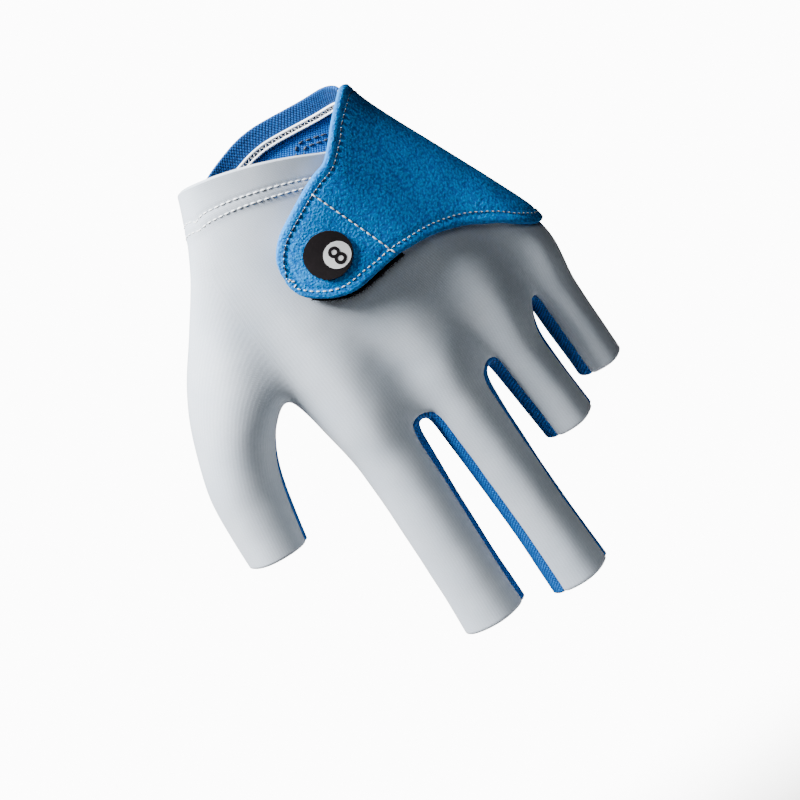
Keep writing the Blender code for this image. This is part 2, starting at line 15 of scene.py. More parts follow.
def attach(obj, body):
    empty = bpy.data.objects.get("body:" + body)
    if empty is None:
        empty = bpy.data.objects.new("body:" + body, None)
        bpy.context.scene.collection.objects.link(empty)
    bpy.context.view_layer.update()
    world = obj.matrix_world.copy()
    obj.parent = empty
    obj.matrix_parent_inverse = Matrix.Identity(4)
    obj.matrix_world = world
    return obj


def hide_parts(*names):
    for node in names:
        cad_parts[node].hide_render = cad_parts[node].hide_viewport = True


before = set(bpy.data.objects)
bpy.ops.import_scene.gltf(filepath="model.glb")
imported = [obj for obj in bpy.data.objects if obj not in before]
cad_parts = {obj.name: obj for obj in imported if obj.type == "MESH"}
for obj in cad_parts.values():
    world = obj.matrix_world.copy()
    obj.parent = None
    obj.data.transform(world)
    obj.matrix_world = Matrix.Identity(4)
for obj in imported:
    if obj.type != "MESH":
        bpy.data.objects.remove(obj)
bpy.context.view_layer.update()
scene = bpy.context.scene


# The view: a camera as in a catalogue picture, turned so that the fingers point down to the right,
# a soft light from the thumb's side and a weak fill, each placed by its way right, up and back of the
# camera's target. The pale floor below the glove fades out into a white ground.
VIEW_AZIMUTH, VIEW_ELEVATION, VIEW_ROLL = math.radians(-8), math.radians(14), math.radians(35)
VIEW_TARGET = Vector((-0.0107, 0, -0.085))
VIEW_DISTANCE = 0.9
VIEW_WIDTH = 0.244
VIEW_SHIFT = (0.015, -0.01625)
FILM_WIDTH = 36
KEY_PLACE, KEY_SIZE, KEY_POWER = (-0.98, 0.5, 0.52), 0.45, 100
FILL_PLACE, FILL_SIZE, FILL_POWER = (-0.3, 0.6, 1.3), 0.6, 4.2
GROUND_LIGHT = 0.02
GROUND_SEEN = 12.0
FLOOR_HEIGHT = -0.30
FLOOR_RADIUS = 0.75
FLOOR_FADE = (0.02, 0.17)
FLOOR_GLOW = 0.2

view_back = Vector((
    math.sin(VIEW_AZIMUTH) * math.cos(VIEW_ELEVATION),
    -math.cos(VIEW_AZIMUTH) * math.cos(VIEW_ELEVATION),
    math.sin(VIEW_ELEVATION),
))
level_right = (-view_back).cross(Vector((0, 0, 1))).normalized()
level_up = level_right.cross(-view_back)
view_right = level_right * math.cos(VIEW_ROLL) - level_up * math.sin(VIEW_ROLL)
view_up = level_right * math.sin(VIEW_ROLL) + level_up * math.cos(VIEW_ROLL)

camera = bpy.data.objects.new("camera", bpy.data.cameras.new("camera"))
scene.collection.objects.link(camera)
camera.data.sensor_width = FILM_WIDTH
camera.data.lens = VIEW_DISTANCE / VIEW_WIDTH * FILM_WIDTH
camera.data.shift_x, camera.data.shift_y = VIEW_SHIFT
camera.data.clip_start, camera.data.clip_end = 0.01, 20
turned = Matrix((view_right, view_up, view_back)).transposed().to_4x4()
turned.translation = VIEW_TARGET + view_back * VIEW_DISTANCE
camera.matrix_world = turned
scene.camera = camera


def area_light(name, place, size, power, tint):
    away = view_right * place[0] + view_up * place[1] + view_back * place[2]
    lamp = bpy.data.lights.new(name, "AREA")
    lamp.size = size
    lamp.energy = power
    lamp.color = tint
    light = bpy.data.objects.new(name, lamp)
    scene.collection.objects.link(light)
    light.location = VIEW_TARGET + away
    light.rotation_euler = (-away).to_track_quat("-Z", "Y").to_euler()


area_light("key_light", KEY_PLACE, KEY_SIZE, KEY_POWER, (1, 1, 1))
area_light("fill_light", FILL_PLACE, FILL_SIZE, FILL_POWER, (0.95, 0.98, 1))


def add_node(tree, kind, links=None, **settings):
    """Adds a node with its settings. links gives its inputs, by name or number, a value or an output."""
    made = tree.nodes.new(kind)
    for name, value in settings.items():
        setattr(made, name, value)
    for name, value in (links or {}).items():
        if isinstance(value, bpy.types.NodeSocket):
            tree.links.new(value, made.inputs[name])
        else:
            made.inputs[name].default_value = value
    return made


world = bpy.data.worlds.new("studio")
scene.world = world
world.use_nodes = True
world.node_tree.nodes.clear()
seen = add_node(world.node_tree, "ShaderNodeLightPath").outputs["Is Camera Ray"]
lit = add_node(world.node_tree, "ShaderNodeBackground", {
    "Color": (0.86, 0.92, 1, 1), "Strength": GROUND_LIGHT})
white = add_node(world.node_tree, "ShaderNodeBackground", {"Color": (1, 1, 1, 1), "Strength": GROUND_SEEN})
both = add_node(world.node_tree, "ShaderNodeMixShader", {0: seen, 1: lit.outputs[0], 2: white.outputs[0]})
add_node(world.node_tree, "ShaderNodeOutputWorld", {"Surface": both.outputs[0]})

bpy.ops.mesh.primitive_circle_add(
    vertices=96, radius=FLOOR_RADIUS, fill_type="NGON", location=(0, 0, FLOOR_HEIGHT))
floor = bpy.context.object
floor.name = "floor"
floor_paint = bpy.data.materials.new("floor_paint")
floor_paint.use_nodes = True
tree = floor_paint.node_tree
tree.nodes.clear()
place = add_node(tree, "ShaderNodeTexCoord").outputs["Object"]
reach = add_node(tree, "ShaderNodeVectorMath", {0: place}, operation="LENGTH").outputs["Value"]
fade = add_node(tree, "ShaderNodeMapRange", {
    "Value": reach, "From Min": FLOOR_FADE[0], "From Max": FLOOR_FADE[1],
}, interpolation_type="SMOOTHSTEP").outputs["Result"]
matt = add_node(tree, "ShaderNodeBsdfDiffuse", {"Color": (0.9, 0.9, 0.9, 1)})
glow = add_node(tree, "ShaderNodeEmission", {"Color": (1, 1, 1, 1), "Strength": FLOOR_GLOW})
paint = add_node(tree, "ShaderNodeAddShader", {0: matt.outputs[0], 1: glow.outputs[0]})
clear = add_node(tree, "ShaderNodeBsdfTransparent")
mixed = add_node(tree, "ShaderNodeMixShader", {0: fade, 1: paint.outputs[0], 2: clear.outputs[0]})
add_node(tree, "ShaderNodeOutputMaterial", {"Surface": mixed.outputs[0]})
floor.data.materials.append(floor_paint)


# The worn form: the smooth surface that the cloth takes on a hand. It is the same cage as the solids
# are cut from, 26 columns round the palm and 8 round each finger, divided more finely.
WRIST_WIDTH = 0.0585
WRIST_DEPTH = 0.041
HAND_WIDTH = 0.0905
HAND_DEPTH = 0.0265
PALM_LENGTH = 0.098
FINGER_GAP = 0.0022
THUMB_REACH = 0.0667
THUMB_DROP = 0.111
THUMB_WIDTH = 0.0205
ELASTIC_WIDTH = 0.0068
NOTCH_DEPTH = 0.0155
WRIST_BACK_TURN = 68
LONG_FINGER = 0.05
FINGER_EASE = 0.3
PALM_HOLLOW = 0.45
THENAR_TOP = 0.9
CAGE_SWELL = 1.10
WRIST_SWELL = 1.02
GUIDE_RISE = 0.010
GUIDE_LEVELS = 3
FORM_LEVELS = 4

# Average width of a cage column, the unit that the cloth's threads are counted along. The thumb's own
# columns are counted on from a number past the palm's.
COLUMN_WIDTH = 0.0074
THUMB_CLOTH_COLUMN = 30

FINGER_TURNS = (-66, -4, 57, 97, 137, 180, 223, 263)
BACK_LEFT, BACK, BACK_RIGHT, RIGHT, PALM_RIGHT, PALM, PALM_LEFT, LEFT = range(8)
BACK_COLUMNS = 12
LITTLE_SIDE = 12
THUMB_SIDE = 25
THUMB_SIDE_SHARES = {THUMB_SIDE: 1, 0: 0.5, THUMB_SIDE - 1: 0.5, 1: 0.15, THUMB_SIDE - 2: 0.15}
PALM_ROWS = (0.00, 0.1875, 0.390, 0.667, 0.845)
THUMB_ROOT_ROWS = (2, 3, 4)

FINGERS = (
    dict(across=-0.232, rise=0.02, drop=1.00, width=0.272, depth=0.90, length=0.066,
         spread=-2.2, bend=2, turn=-6, left=12, right=12),
    dict(across=0.055, rise=0.10, drop=1.01, width=0.262, depth=0.90, length=0.071,
         spread=0.6, bend=2, turn=2, left=-3, right=20),
    dict(across=0.313, rise=0.02, drop=0.985, width=0.232, depth=0.88, length=0.032,
         spread=4.0, bend=4, turn=8, left=-6, right=14),
    dict(across=0.540, rise=-0.14, drop=0.905, width=0.202, depth=0.80, length=0.032,
         spread=2.0, bend=5, turn=12, left=-6, right=10),
)
LONG_SECTIONS = (
    dict(along=0.00, width=1.00, depth=1.00),
    dict(along=0.10, width=0.97, depth=0.97),
    dict(along=0.32, width=0.94, depth=0.93),
    dict(along=0.56, width=0.91, depth=0.90),
    dict(along=0.80, width=0.92, depth=0.89),
    dict(along=1.00, width=0.96, depth=0.90),
)
SHORT_SECTIONS = (
    dict(along=0.00, width=1.00, depth=1.00),
    dict(along=0.22, width=0.96, depth=0.97),
    dict(along=0.60, width=0.94, depth=0.94),
    dict(along=1.00, width=0.93, depth=0.92),
)
THUMB_SECTIONS = (
    dict(out=0.765, down=0.535, forward=0.20, width=1.50, depth=1.42, lean=-62, turn=-17),
    dict(out=0.865, down=0.640, forward=0.30, width=1.24, depth=1.30, lean=-40, turn=-23),
    dict(out=0.945, down=0.765, forward=0.38, width=1.15, depth=1.14, lean=-12, turn=-30),
    dict(out=0.975, down=0.880, forward=0.42, width=1.06, depth=1.04, lean=-6, turn=-34),
    dict(out=0.998, down=0.983, forward=0.44, width=0.97, depth=0.97, lean=-6, turn=-34),
)
PALM_PROFILE = (
    dict(drop=-0.12, widen=-0.02, flatten=-0.05, valley=0, knuckle=0, thenar=0, heel=0, thumb_side=-0.020),
    dict(drop=0.00, widen=0.00, flatten=0.00, valley=0, knuckle=0, thenar=0.00, heel=0.00, thumb_side=0.005),
    dict(drop=0.11, widen=0.08, flatten=0.10, valley=0, knuckle=0, thenar=0.04, heel=0.04, thumb_side=0.065),
    dict(drop=0.26, widen=0.285, flatten=0.28, valley=0, knuckle=0, thenar=0.20, heel=0.12, thumb_side=0.150),
    dict(drop=0.44, widen=0.54, flatten=0.52, valley=0, knuckle=0, thenar=0.30, heel=0.16, thumb_side=0.13),
    dict(drop=0.66, widen=0.865, flatten=0.76, valley=0.25, knuckle=0.04, thenar=0.16, heel=0.12,
         thumb_side=0.07),
    dict(drop=0.84, widen=1.07, flatten=0.90, valley=0.75, knuckle=0.10, thenar=0.04, heel=0.06,
         thumb_side=0.03),
    dict(drop=1.00, widen=1.00, flatten=1.00, valley=1, knuckle=0.04, thenar=0.00, heel=0.00, thumb_side=0),
)
WRIST_EDGE = (
    dict(turn=-180, rise=0.06),
    dict(turn=-150, rise=-0.15),
    dict(turn=-115, rise=-0.35),
    dict(turn=-92, rise=0.05),
    dict(turn=-50, rise=0.11),
    dict(turn=-20, rise=-0.11),
    dict(turn=5, rise=-0.50),
    dict(turn=30, rise=-1.00),
    dict(turn=50, rise=-0.92),
    dict(turn=75, rise=-0.30),
    dict(turn=100, rise=-0.02),
    dict(turn=140, rise=-0.04),
    dict(turn=180, rise=0.06),
)
PANELS = (
    "back_panel",
    "palm_panel",
    "cuff_elastic",
    "fourchette_index_middle",
    "fourchette_middle_ring",
    "fourchette_ring_little",
)


def mix(a, b, share):
    return a + (b - a) * share


def smooth_step(low, high, value):
    share = min(1, max(0, (value - low) / (high - low)))
    return share * share * (3 - 2 * share)


def smooth_between(a, b, slope_a, slope_b, share):
    """The cubic curve from a to b that has the two slopes at its ends."""
    square, cube = share**2, share**3
    return (
        (2 * cube - 3 * square + 1) * a
        + (cube - 2 * square + share) * slope_a
        + (3 * square - 2 * cube) * b
        + (cube - square) * slope_b
    )


def curve_through(rows, key, column, value):
    """The smooth curve through a table's column at value of its key column."""
    last = len(rows) - 2
    i = 0
    while i < last and value > rows[i + 1][key]:
        i += 1
    before, a = rows[max(i - 1, 0)], rows[i]
    b, after = rows[i + 1], rows[min(i + 2, last + 1)]
    span = b[key] - a[key]
    share = min(1, max(0, (value - a[key]) / span))
    slope_a = (b[column] - before[column]) / (b[key] - before[key]) * span
    slope_b = (after[column] - a[column]) / (after[key] - a[key]) * span
    return smooth_between(a[column], b[column], slope_a, slope_b, share)


def section_points(centre, across, back, width, depth, turn, left=0, right=0):
    """Eight cage points round a finger. left and right move the seams on its two sides, in degrees."""
    angle = math.radians(turn)
    side = across * math.cos(angle) - back * math.sin(angle)
    top = back * math.cos(angle) + across * math.sin(angle)
    middle = (left + right) / 2
    points = []
    for degrees, shift in zip(FINGER_TURNS, (left, middle, right, right, right, middle, left, left)):
        a = math.radians(degrees + shift)
        reach = side * math.sin(a) * width / 2 + top * math.cos(a) * depth / 2
        points.append(centre + reach * CAGE_SWELL)
    return points


def finger_sections(finger):
    """Rings of eight points from the crotch line to the open fingertip, each with its way along."""
    spread, bend = math.radians(finger["spread"]), math.radians(finger["bend"])
    along = Vector((math.sin(spread), math.sin(bend), -math.cos(spread) * math.cos(bend))).normalized()
    centre = Vector((
        finger["across"] * HAND_WIDTH,
        -finger["rise"] * HAND_DEPTH,
        -finger["drop"] * PALM_LENGTH,
    ))
    width = finger["width"] * HAND_WIDTH - FINGER_GAP
    depth = finger["depth"] * HAND_DEPTH
    rings = []
    for row in LONG_SECTIONS if finger["length"] > LONG_FINGER else SHORT_SECTIONS:
        eased = smooth_step(0, FINGER_EASE, row["along"])
        direction = Vector((0, 0, -1)).lerp(along, eased).normalized()
        across = Vector((1, 0, 0))
        across = (across - direction * across.dot(direction)).normalized()
        back = across.cross(direction).normalized()
        if back.y > 0:
            back.negate()
        way = row["along"] * finger["length"]
        points = section_points(centre + along * way, across, back,
                                width * row["width"], depth * row["depth"], finger["turn"],
                                finger["left"] * eased, finger["right"] * eased)
        rings.append((points, way))
    return rings


def thumb_rings():
    """Rings of eight points from the thumb's root to its open tip, each leant by its own angle."""
    rings = []
    for row in THUMB_SECTIONS:
        centre = Vector((-row["out"] * THUMB_REACH, row["forward"] * HAND_DEPTH, -row["down"] * THUMB_DROP))
        lean = math.radians(row["lean"])
        across = Vector((math.cos(lean), 0, math.sin(lean)))
        rings.append(section_points(centre, across, Vector((0, -1, 0)),
                                    row["width"] * THUMB_WIDTH, row["depth"] * THUMB_WIDTH, row["turn"]))
    return rings


def wrist_turn(column):
    """Turn of a column round the wrist, in degrees from the middle of the back."""
    if column < BACK_COLUMNS:
        return mix(-WRIST_BACK_TURN, WRIST_BACK_TURN, column / (BACK_COLUMNS - 1))
    if column == LITTLE_SIDE:
        return 90
    if column == THUMB_SIDE:
        return 270
    share = (column - LITTLE_SIDE - 1) / (BACK_COLUMNS - 1)
    return mix(180 - WRIST_BACK_TURN, 180 + WRIST_BACK_TURN, share)


def wrist_rise(column):
    """Height of the wrist's edge at a column."""
    turn = wrist_turn(column)
    turn = turn - 360 if turn > 180 else turn
    return curve_through(WRIST_EDGE, "turn", "rise", turn) * NOTCH_DEPTH


def palm_point(column, knuckle, bridge, height, guide):
    """A point of the palm's cage between the wrist's oval and the crotch line. The guide has no valleys."""
    angle = math.radians(wrist_turn(column))
    wrist_x = math.sin(angle) * WRIST_WIDTH / 2 * WRIST_SWELL
    wrist_y = -math.cos(angle) * WRIST_DEPTH / 2 * WRIST_SWELL
    drop = height / knuckle.z
    shape = {name: curve_through(PALM_PROFILE, "drop", name, drop)
             for name in ("widen", "flatten", "valley", "knuckle", "thenar", "heel", "thumb_side")}
    valley = 0 if guide else shape["valley"]
    point = Vector((
        mix(wrist_x, knuckle.x, shape["widen"]),
        mix(wrist_y, mix(bridge.y, knuckle.y, valley), shape["flatten"]),
        height,
    ))
    if column < BACK_COLUMNS and column % 3 == 1:
        point.y -= shape["knuckle"] * HAND_DEPTH
    elif LITTLE_SIDE < column < THUMB_SIDE:
        share = (column - LITTLE_SIDE - 1) / (BACK_COLUMNS - 1)
        point.y += shape["thenar"] * smooth_step(PALM_HOLLOW, THENAR_TOP, share) * HAND_DEPTH
        point.y += shape["heel"] * smooth_step(PALM_HOLLOW, 0, share) * HAND_DEPTH
    point.x -= THUMB_SIDE_SHARES.get(column, 0) * shape["thumb_side"] * HAND_WIDTH
    return point


def bridge_valleys(crotch_line):
    """The crotch line without the valleys between the fingers, as a strap lies over them."""
    bridged = [point.copy() for point in crotch_line]
    for first in (0, LITTLE_SIDE + 1):
        for column in range(2, BACK_COLUMNS - 2):
            if column % 3 != 1:
                left = first + column - (1 if column % 3 == 2 else 2)
                a, b, point = crotch_line[left], crotch_line[left + 3], bridged[first + column]
                point.y = mix(a.y, b.y, (point.x - a.x) / (b.x - a.x))
    return bridged


def form_cage(guide):
    """The glove as one cage. A face's piece attribute is its panel, and its cloth map counts along it."""
    bm = bmesh.new()
    piece = bm.faces.layers.int.new("piece")
    cloth = bm.loops.layers.uv.new("cloth")
    below = {}

    def add_ring(points, depths):
        ring = []
        for point, depth in zip(points, depths):
            vert = bm.verts.new(point)
            below[vert] = depth
            ring.append(vert)
        return ring

    def add_face(corners, name, column):
        face = bm.faces.new(corners)
        face[piece] = PANELS.index(name)
        for loop, step in zip(face.loops, (0, 0, 1, 1)):
            loop[cloth].uv = ((column + step) * COLUMN_WIDTH, below[loop.vert])

    def join_rings(upper, lower, names, columns):
        for i, name in enumerate(names):
            j = (i + 1) % len(upper)
            if name:
                add_face((upper[i], lower[i], lower[j], upper[j]), name, columns[i])

    fingers = [finger_sections(finger) for finger in FINGERS]
    bases = [rings[0][0] for rings in fingers]
    crotch_line = [base[i] for base in bases for i in (BACK_LEFT, BACK, BACK_RIGHT)]
    crotch_line.append(bases[-1][RIGHT])
    crotch_line += [base[i] for base in reversed(bases) for i in (PALM_RIGHT, PALM, PALM_LEFT)]
    crotch_line.append(bases[0][LEFT])
    bridged = bridge_valleys(crotch_line)
    rises = [wrist_rise(column) for column in range(len(crotch_line))]
    rows = []
    for along in (None, *PALM_ROWS):
        points = []
        for column, (knuckle, bridge) in enumerate(zip(crotch_line, bridged)):
            height = rises[column] if along is None else mix(rises[column] - ELASTIC_WIDTH, knuckle.z, along)
            points.append(palm_point(column, knuckle, bridge, height, guide))
        rows.append(add_ring(points, [rise - point.z for rise, point in zip(rises, points)]))
    ends = bridged if guide else crotch_line
    rows.append(add_ring(ends, [rise - point.z for rise, point in zip(rises, ends)]))

    back_names = ["back_panel"] * (LITTLE_SIDE + 1)
    palm_names = ["palm_panel"] * (BACK_COLUMNS - 1)
    side_names = ["back_panel"] * 2
    elastic_names = ["back_panel"] * LITTLE_SIDE + ["cuff_elastic"] * BACK_COLUMNS
    columns = list(range(len(crotch_line)))
    for number in range(len(rows) - 1):
        names = (elastic_names if number == 0 else back_names + palm_names) + side_names
        if number in THUMB_ROOT_ROWS[:2]:
            names = names[:THUMB_SIDE - 1] + [None, None]
        join_rings(rows[number], rows[number + 1], names, columns)

    crotch = rows[-1]
    webs = PANELS[3:]
    little = len(FINGERS) - 1
    firsts = [3 * number for number in range(len(FINGERS))]
    inners = [LITTLE_SIDE + 1 + 3 * (little - number) for number in range(len(FINGERS))]
    bases = [[*crotch[first:first + 3], None, *crotch[inner:inner + 3], None]
             for first, inner in zip(firsts, inners)]
    bases[0][LEFT] = crotch[THUMB_SIDE]
    bases[little][RIGHT] = crotch[LITTLE_SIDE]
    for number, name in enumerate(webs):
        left, right = bases[number], bases[number + 1]
        depth = (below[left[BACK_RIGHT]] + below[right[BACK_LEFT]]) / 2
        left[RIGHT], right[LEFT] = add_ring(
            (fingers[number][0][0][RIGHT], fingers[number + 1][0][0][LEFT]), (depth, depth))
        add_face((left[BACK_RIGHT], left[RIGHT], right[LEFT], right[BACK_LEFT]), name, firsts[number] + 2)
        add_face((left[RIGHT], left[PALM_RIGHT], right[PALM_LEFT], right[LEFT]), name, firsts[number] + 2)

    for number, base in enumerate(bases):
        left_web = webs[number - 1] if number > 0 else "back_panel"
        right_web = webs[number] if number < little else "back_panel"
        names = ["back_panel"] * 2 + [right_web] * 2 + ["palm_panel"] * 2 + [left_web] * 2
        first, inner = firsts[number], inners[number]
        starts = [first, first + 1, first + 2, first + 3, inner, inner + 1, first - 2, first - 1]
        upper = base
        for points, way in fingers[number][1:]:
            lower = add_ring(points, [below[vert] + way for vert in base])
            join_rings(upper, lower, names, starts)
            upper = lower

    if guide:
        crown = [palm_point(column, knuckle, bridge, GUIDE_RISE, True)
                 for column, (knuckle, bridge) in enumerate(zip(crotch_line, bridged))]
        crown_depths = [rise - GUIDE_RISE for rise in rises]
        join_rings(add_ring(crown, crown_depths), rows[0], back_names + palm_names + side_names, columns)

    first, middle, last = (rows[i] for i in THUMB_ROOT_ROWS)
    edge = LITTLE_SIDE + BACK_COLUMNS
    upper = [first[0], middle[0], last[0], last[THUMB_SIDE],
             last[edge], middle[edge], first[edge], first[THUMB_SIDE]]
    names = ["back_panel"] * 3 + ["palm_panel"] * 3 + ["back_panel"] * 2
    start_depth = below[middle[0]]
    way = 0
    for number, points in enumerate(thumb_rings()):
        way += (points[0] - upper[0].co).length if number else (points[0] - middle[0].co).length
        lower = add_ring(points, [start_depth + way] * 8)
        join_rings(upper, lower, names, range(THUMB_CLOTH_COLUMN, THUMB_CLOTH_COLUMN + 8))
        upper = lower
    bmesh.ops.delete(bm, geom=[vert for vert in bm.verts if not vert.link_faces], context="VERTS")
    bmesh.ops.recalc_face_normals(bm, faces=bm.faces[:])
    return bm


def smooth_form(levels, guide):
    """The cage's subdivision surface as a mesh, with its own normals and open edges kept as attributes."""
    mesh = bpy.data.meshes.new("form_cage")
    bm = form_cage(guide)
    bm.to_mesh(mesh)
    bm.free()
    cage = bpy.data.objects.new("form_cage", mesh)
    scene.collection.objects.link(cage)
    smoothing = cage.modifiers.new("smooth", "SUBSURF")
    smoothing.levels = smoothing.render_levels = levels
    form = bpy.data.meshes.new_from_object(cage.evaluated_get(bpy.context.evaluated_depsgraph_get()))
    bpy.data.objects.remove(cage)
    bm = bmesh.new()
    bm.from_mesh(form)
    outward = bm.verts.layers.float_vector.new("outward")
    opening = bm.verts.layers.int.new("opening")
    bm.normal_update()
    for vert in bm.verts:
        vert[outward] = vert.normal
        vert[opening] = vert.is_boundary
    bm.to_mesh(form)
    bm.free()
    return form


form = smooth_form(FORM_LEVELS, False)
guide_form = smooth_form(GUIDE_LEVELS, True)


# Back panel: light grey nylon and elastane tricot, stretched smooth over the back of the hand and fingers.
# At the wrist it is folded in by 13 mm and held by two rows of stitches. Its other edges turn into seams.
CLOTH_WALL = 0.0008
CLOTH_WAVES = ((55, 0.00022), (140, 0.00006))
HEM_WIDTH = 0.0127
HEM_END = (HEM_WIDTH - 0.0006, HEM_WIDTH + 0.0005)
HEM_LAYER = 0.0004
HEM_STEP = 0.00030
HEM_ROWS = (0.0086, 0.0117)
HEM_GROOVE = 0.00012
HEM_DIMPLE = 0.00010
HEM_GROOVE_WIDTH = 0.0007
RIM_ROUNDING = 0.2
SEAM_OVERLAP = 0.00004
SEAM_DIP = 0.00048
SEAM_ROUNDING = 0.0010
STITCH_PITCH = 0.0021


def linear(text):
    """Turns an sRGB hex colour into Blender's linear values."""
    parts = [int(text[i:i + 2], 16) / 255 for i in (1, 3, 5)]
    return (*(part / 12.92 if part <= 0.04045 else ((part + 0.055) / 1.055) ** 2.4 for part in parts), 1)


def principled(name, roughness, sheen=0.0, sheen_tint="#ffffff", specular=0.5):
    """A new material with its shader, linked to the output. Returns the material, its tree and its shader."""
    made = bpy.data.materials.new(name)
    made.use_nodes = True
    shader = made.node_tree.nodes["Principled BSDF"]
    shader.inputs["Roughness"].default_value = roughness
    shader.inputs["Specular IOR Level"].default_value = specular
    shader.inputs["Sheen Weight"].default_value = sheen
    shader.inputs["Sheen Roughness"].default_value = 0.4
    shader.inputs["Sheen Tint"].default_value = linear(sheen_tint)
    return made, made.node_tree, shader


def shaded(tree, share, dark, light):
    """A colour between two, by a socket's value from 0 to 1."""
    blend = add_node(tree, "ShaderNodeMix", {0: share, 6: linear(dark), 7: linear(light)}, data_type="RGBA")
    return blend.outputs[2]


# Tricot's wales are 0.35 mm apart, too fine for the picture, so they are drawn at 0.7 mm and faint. A wave
# texture of scale 1 has its bands about a third of a metre apart. The fine knit gives a soft, matt grey.
BAND_SPACING = 1 / math.pi
WALE = 0.0007
COURSE = 0.0006
SPECKLE = 0.000667
CLOUD = 0.0167
tricot, tree, shader = principled("grey_tricot", 0.58, sheen=0.25, specular=0.35)
cloth_map = add_node(tree, "ShaderNodeUVMap", uv_map="cloth").outputs["UV"]
wales = add_node(tree, "ShaderNodeTexWave", {
    "Vector": cloth_map, "Scale": BAND_SPACING / WALE, "Distortion": 0.6, "Detail": 1.0, "Detail Scale": 1.5,
}, wave_type="BANDS", bands_direction="X").outputs["Fac"]
courses = add_node(tree, "ShaderNodeTexWave", {
    "Vector": cloth_map, "Scale": BAND_SPACING / COURSE, "Distortion": 0.6, "Detail": 1.0,
}, wave_type="BANDS", bands_direction="Y").outputs["Fac"]
solid_place = add_node(tree, "ShaderNodeTexCoord").outputs["Object"]
speckle = add_node(tree, "ShaderNodeTexNoise", {
    "Vector": solid_place, "Scale": 1 / SPECKLE, "Detail": 2}).outputs["Fac"]
clouds = add_node(tree, "ShaderNodeTexNoise", {
    "Vector": solid_place, "Scale": 1 / CLOUD, "Detail": 3}).outputs["Fac"]
knit = add_node(tree, "ShaderNodeMath", {0: wales, 1: courses}, operation="MULTIPLY").outputs[0]
grain = add_node(tree, "ShaderNodeMath", {0: knit, 1: speckle}, operation="ADD").outputs[0]
tone = add_node(tree, "ShaderNodeMapRange", {"Value": grain, "From Min": 0.2, "From Max": 1.3}).outputs[0]
fine = shaded(tree, tone, "#bfc8d2", "#d0d8e2")
tone = add_node(tree, "ShaderNodeMapRange", {"Value": clouds, "From Min": 0.3, "From Max": 0.7}).outputs[0]
broad = shaded(tree, tone, "#f0f3f6", "#ffffff")
colour = add_node(tree, "ShaderNodeMix", {0: 1.0, 6: fine, 7: broad}, data_type="RGBA", blend_type="MULTIPLY")
tree.links.new(colour.outputs[2], shader.inputs["Base Color"])
bump = add_node(tree, "ShaderNodeBump", {"Height": grain, "Strength": 0.18, "Distance": 0.0001})
tree.links.new(bump.outputs[0], shader.inputs["Normal"])


def cut_panel(name, wall, relief, finish):
    """One panel of the form as a closed cloth shell.

    relief gives how far a point stands out, from its place and its two ways on the cloth, and wall gives
    the cloth's thickness from its way down from the wrist's edge.
    """
    bm = bmesh.new()
    bm.from_mesh(form)
    outward = bm.verts.layers.float_vector["outward"]
    opening = bm.verts.layers.int["opening"]
    piece = bm.faces.layers.int["piece"]
    cloth = bm.loops.layers.uv["cloth"]
    number = PANELS.index(name)
    bmesh.ops.delete(bm, geom=[face for face in bm.faces if face[piece] != number], context="FACES")
    thick = bm.verts.layers.float.new("thick")
    rim_out = bm.verts.layers.float_vector.new("rim_out")
    seams = {}
    for edge in bm.edges:
        if not edge.is_boundary:
            continue
        face = edge.link_faces[0]
        run = (edge.verts[1].co - edge.verts[0].co).normalized()
        inward = face.calc_center_median() - (edge.verts[0].co + edge.verts[1].co) / 2
        inward = (inward - run * inward.dot(run)).normalized()
        if all(end[opening] for end in edge.verts):
            for vert in edge.verts:
                vert[rim_out] = Vector(vert[rim_out]) - inward * CLOTH_WALL * RIM_ROUNDING
        else:
            for vert in edge.verts:
                seams.setdefault(vert, []).append(inward)
    near_seam = KDTree(len(seams))
    for count, vert in enumerate(seams):
        near_seam.insert(vert.co, count)
    near_seam.balance()
    shifts = []
    for vert in bm.verts:
        place = vert.link_loops[0][cloth].uv
        seam = near_seam.find(vert.co)[2] if seams else 1
        stand = relief(vert.co, place.x, place.y)
        stand -= SEAM_DIP * math.exp(-((seam / SEAM_ROUNDING) ** 2))
        vert[thick] = wall(place.y)
        shifts.append(Vector(vert[outward]) * stand)
    for vert, inwards in seams.items():
        pull = sum(inwards, Vector())
        if pull.length > 1e-6:
            vert.co -= pull.normalized() * SEAM_OVERLAP
    for vert, shift in zip(bm.verts, shifts):
        vert.co += shift
    close_sheet(bm, 1)
    return finish_piece(name, bm, finish)


def close_sheet(bm, cuts, rim_index=0):
    """Gives an open sheet its wall inwards, from its stored normals and walls, and rounds its open rim."""
    outward = bm.verts.layers.float_vector["outward"]
    thick = bm.verts.layers.float["thick"]
    inner = list(bm.verts)
    bmesh.ops.extrude_face_region(bm, geom=bm.faces[:], use_keep_orig=True)
    for vert in inner:
        vert.co -= Vector(vert[outward]) * vert[thick]
    inner = set(inner)
    upright = [edge for edge in bm.edges if (edge.verts[0] in inner) != (edge.verts[1] in inner)]
    split = bmesh.ops.subdivide_edges(bm, edges=upright, cuts=cuts)
    rim_out = bm.verts.layers.float_vector["rim_out"]
    for vert in split["geom_inner"]:
        if isinstance(vert, bmesh.types.BMVert):
            vert.co += Vector(vert[rim_out])
            for face in vert.link_faces:
                face.material_index = rim_index


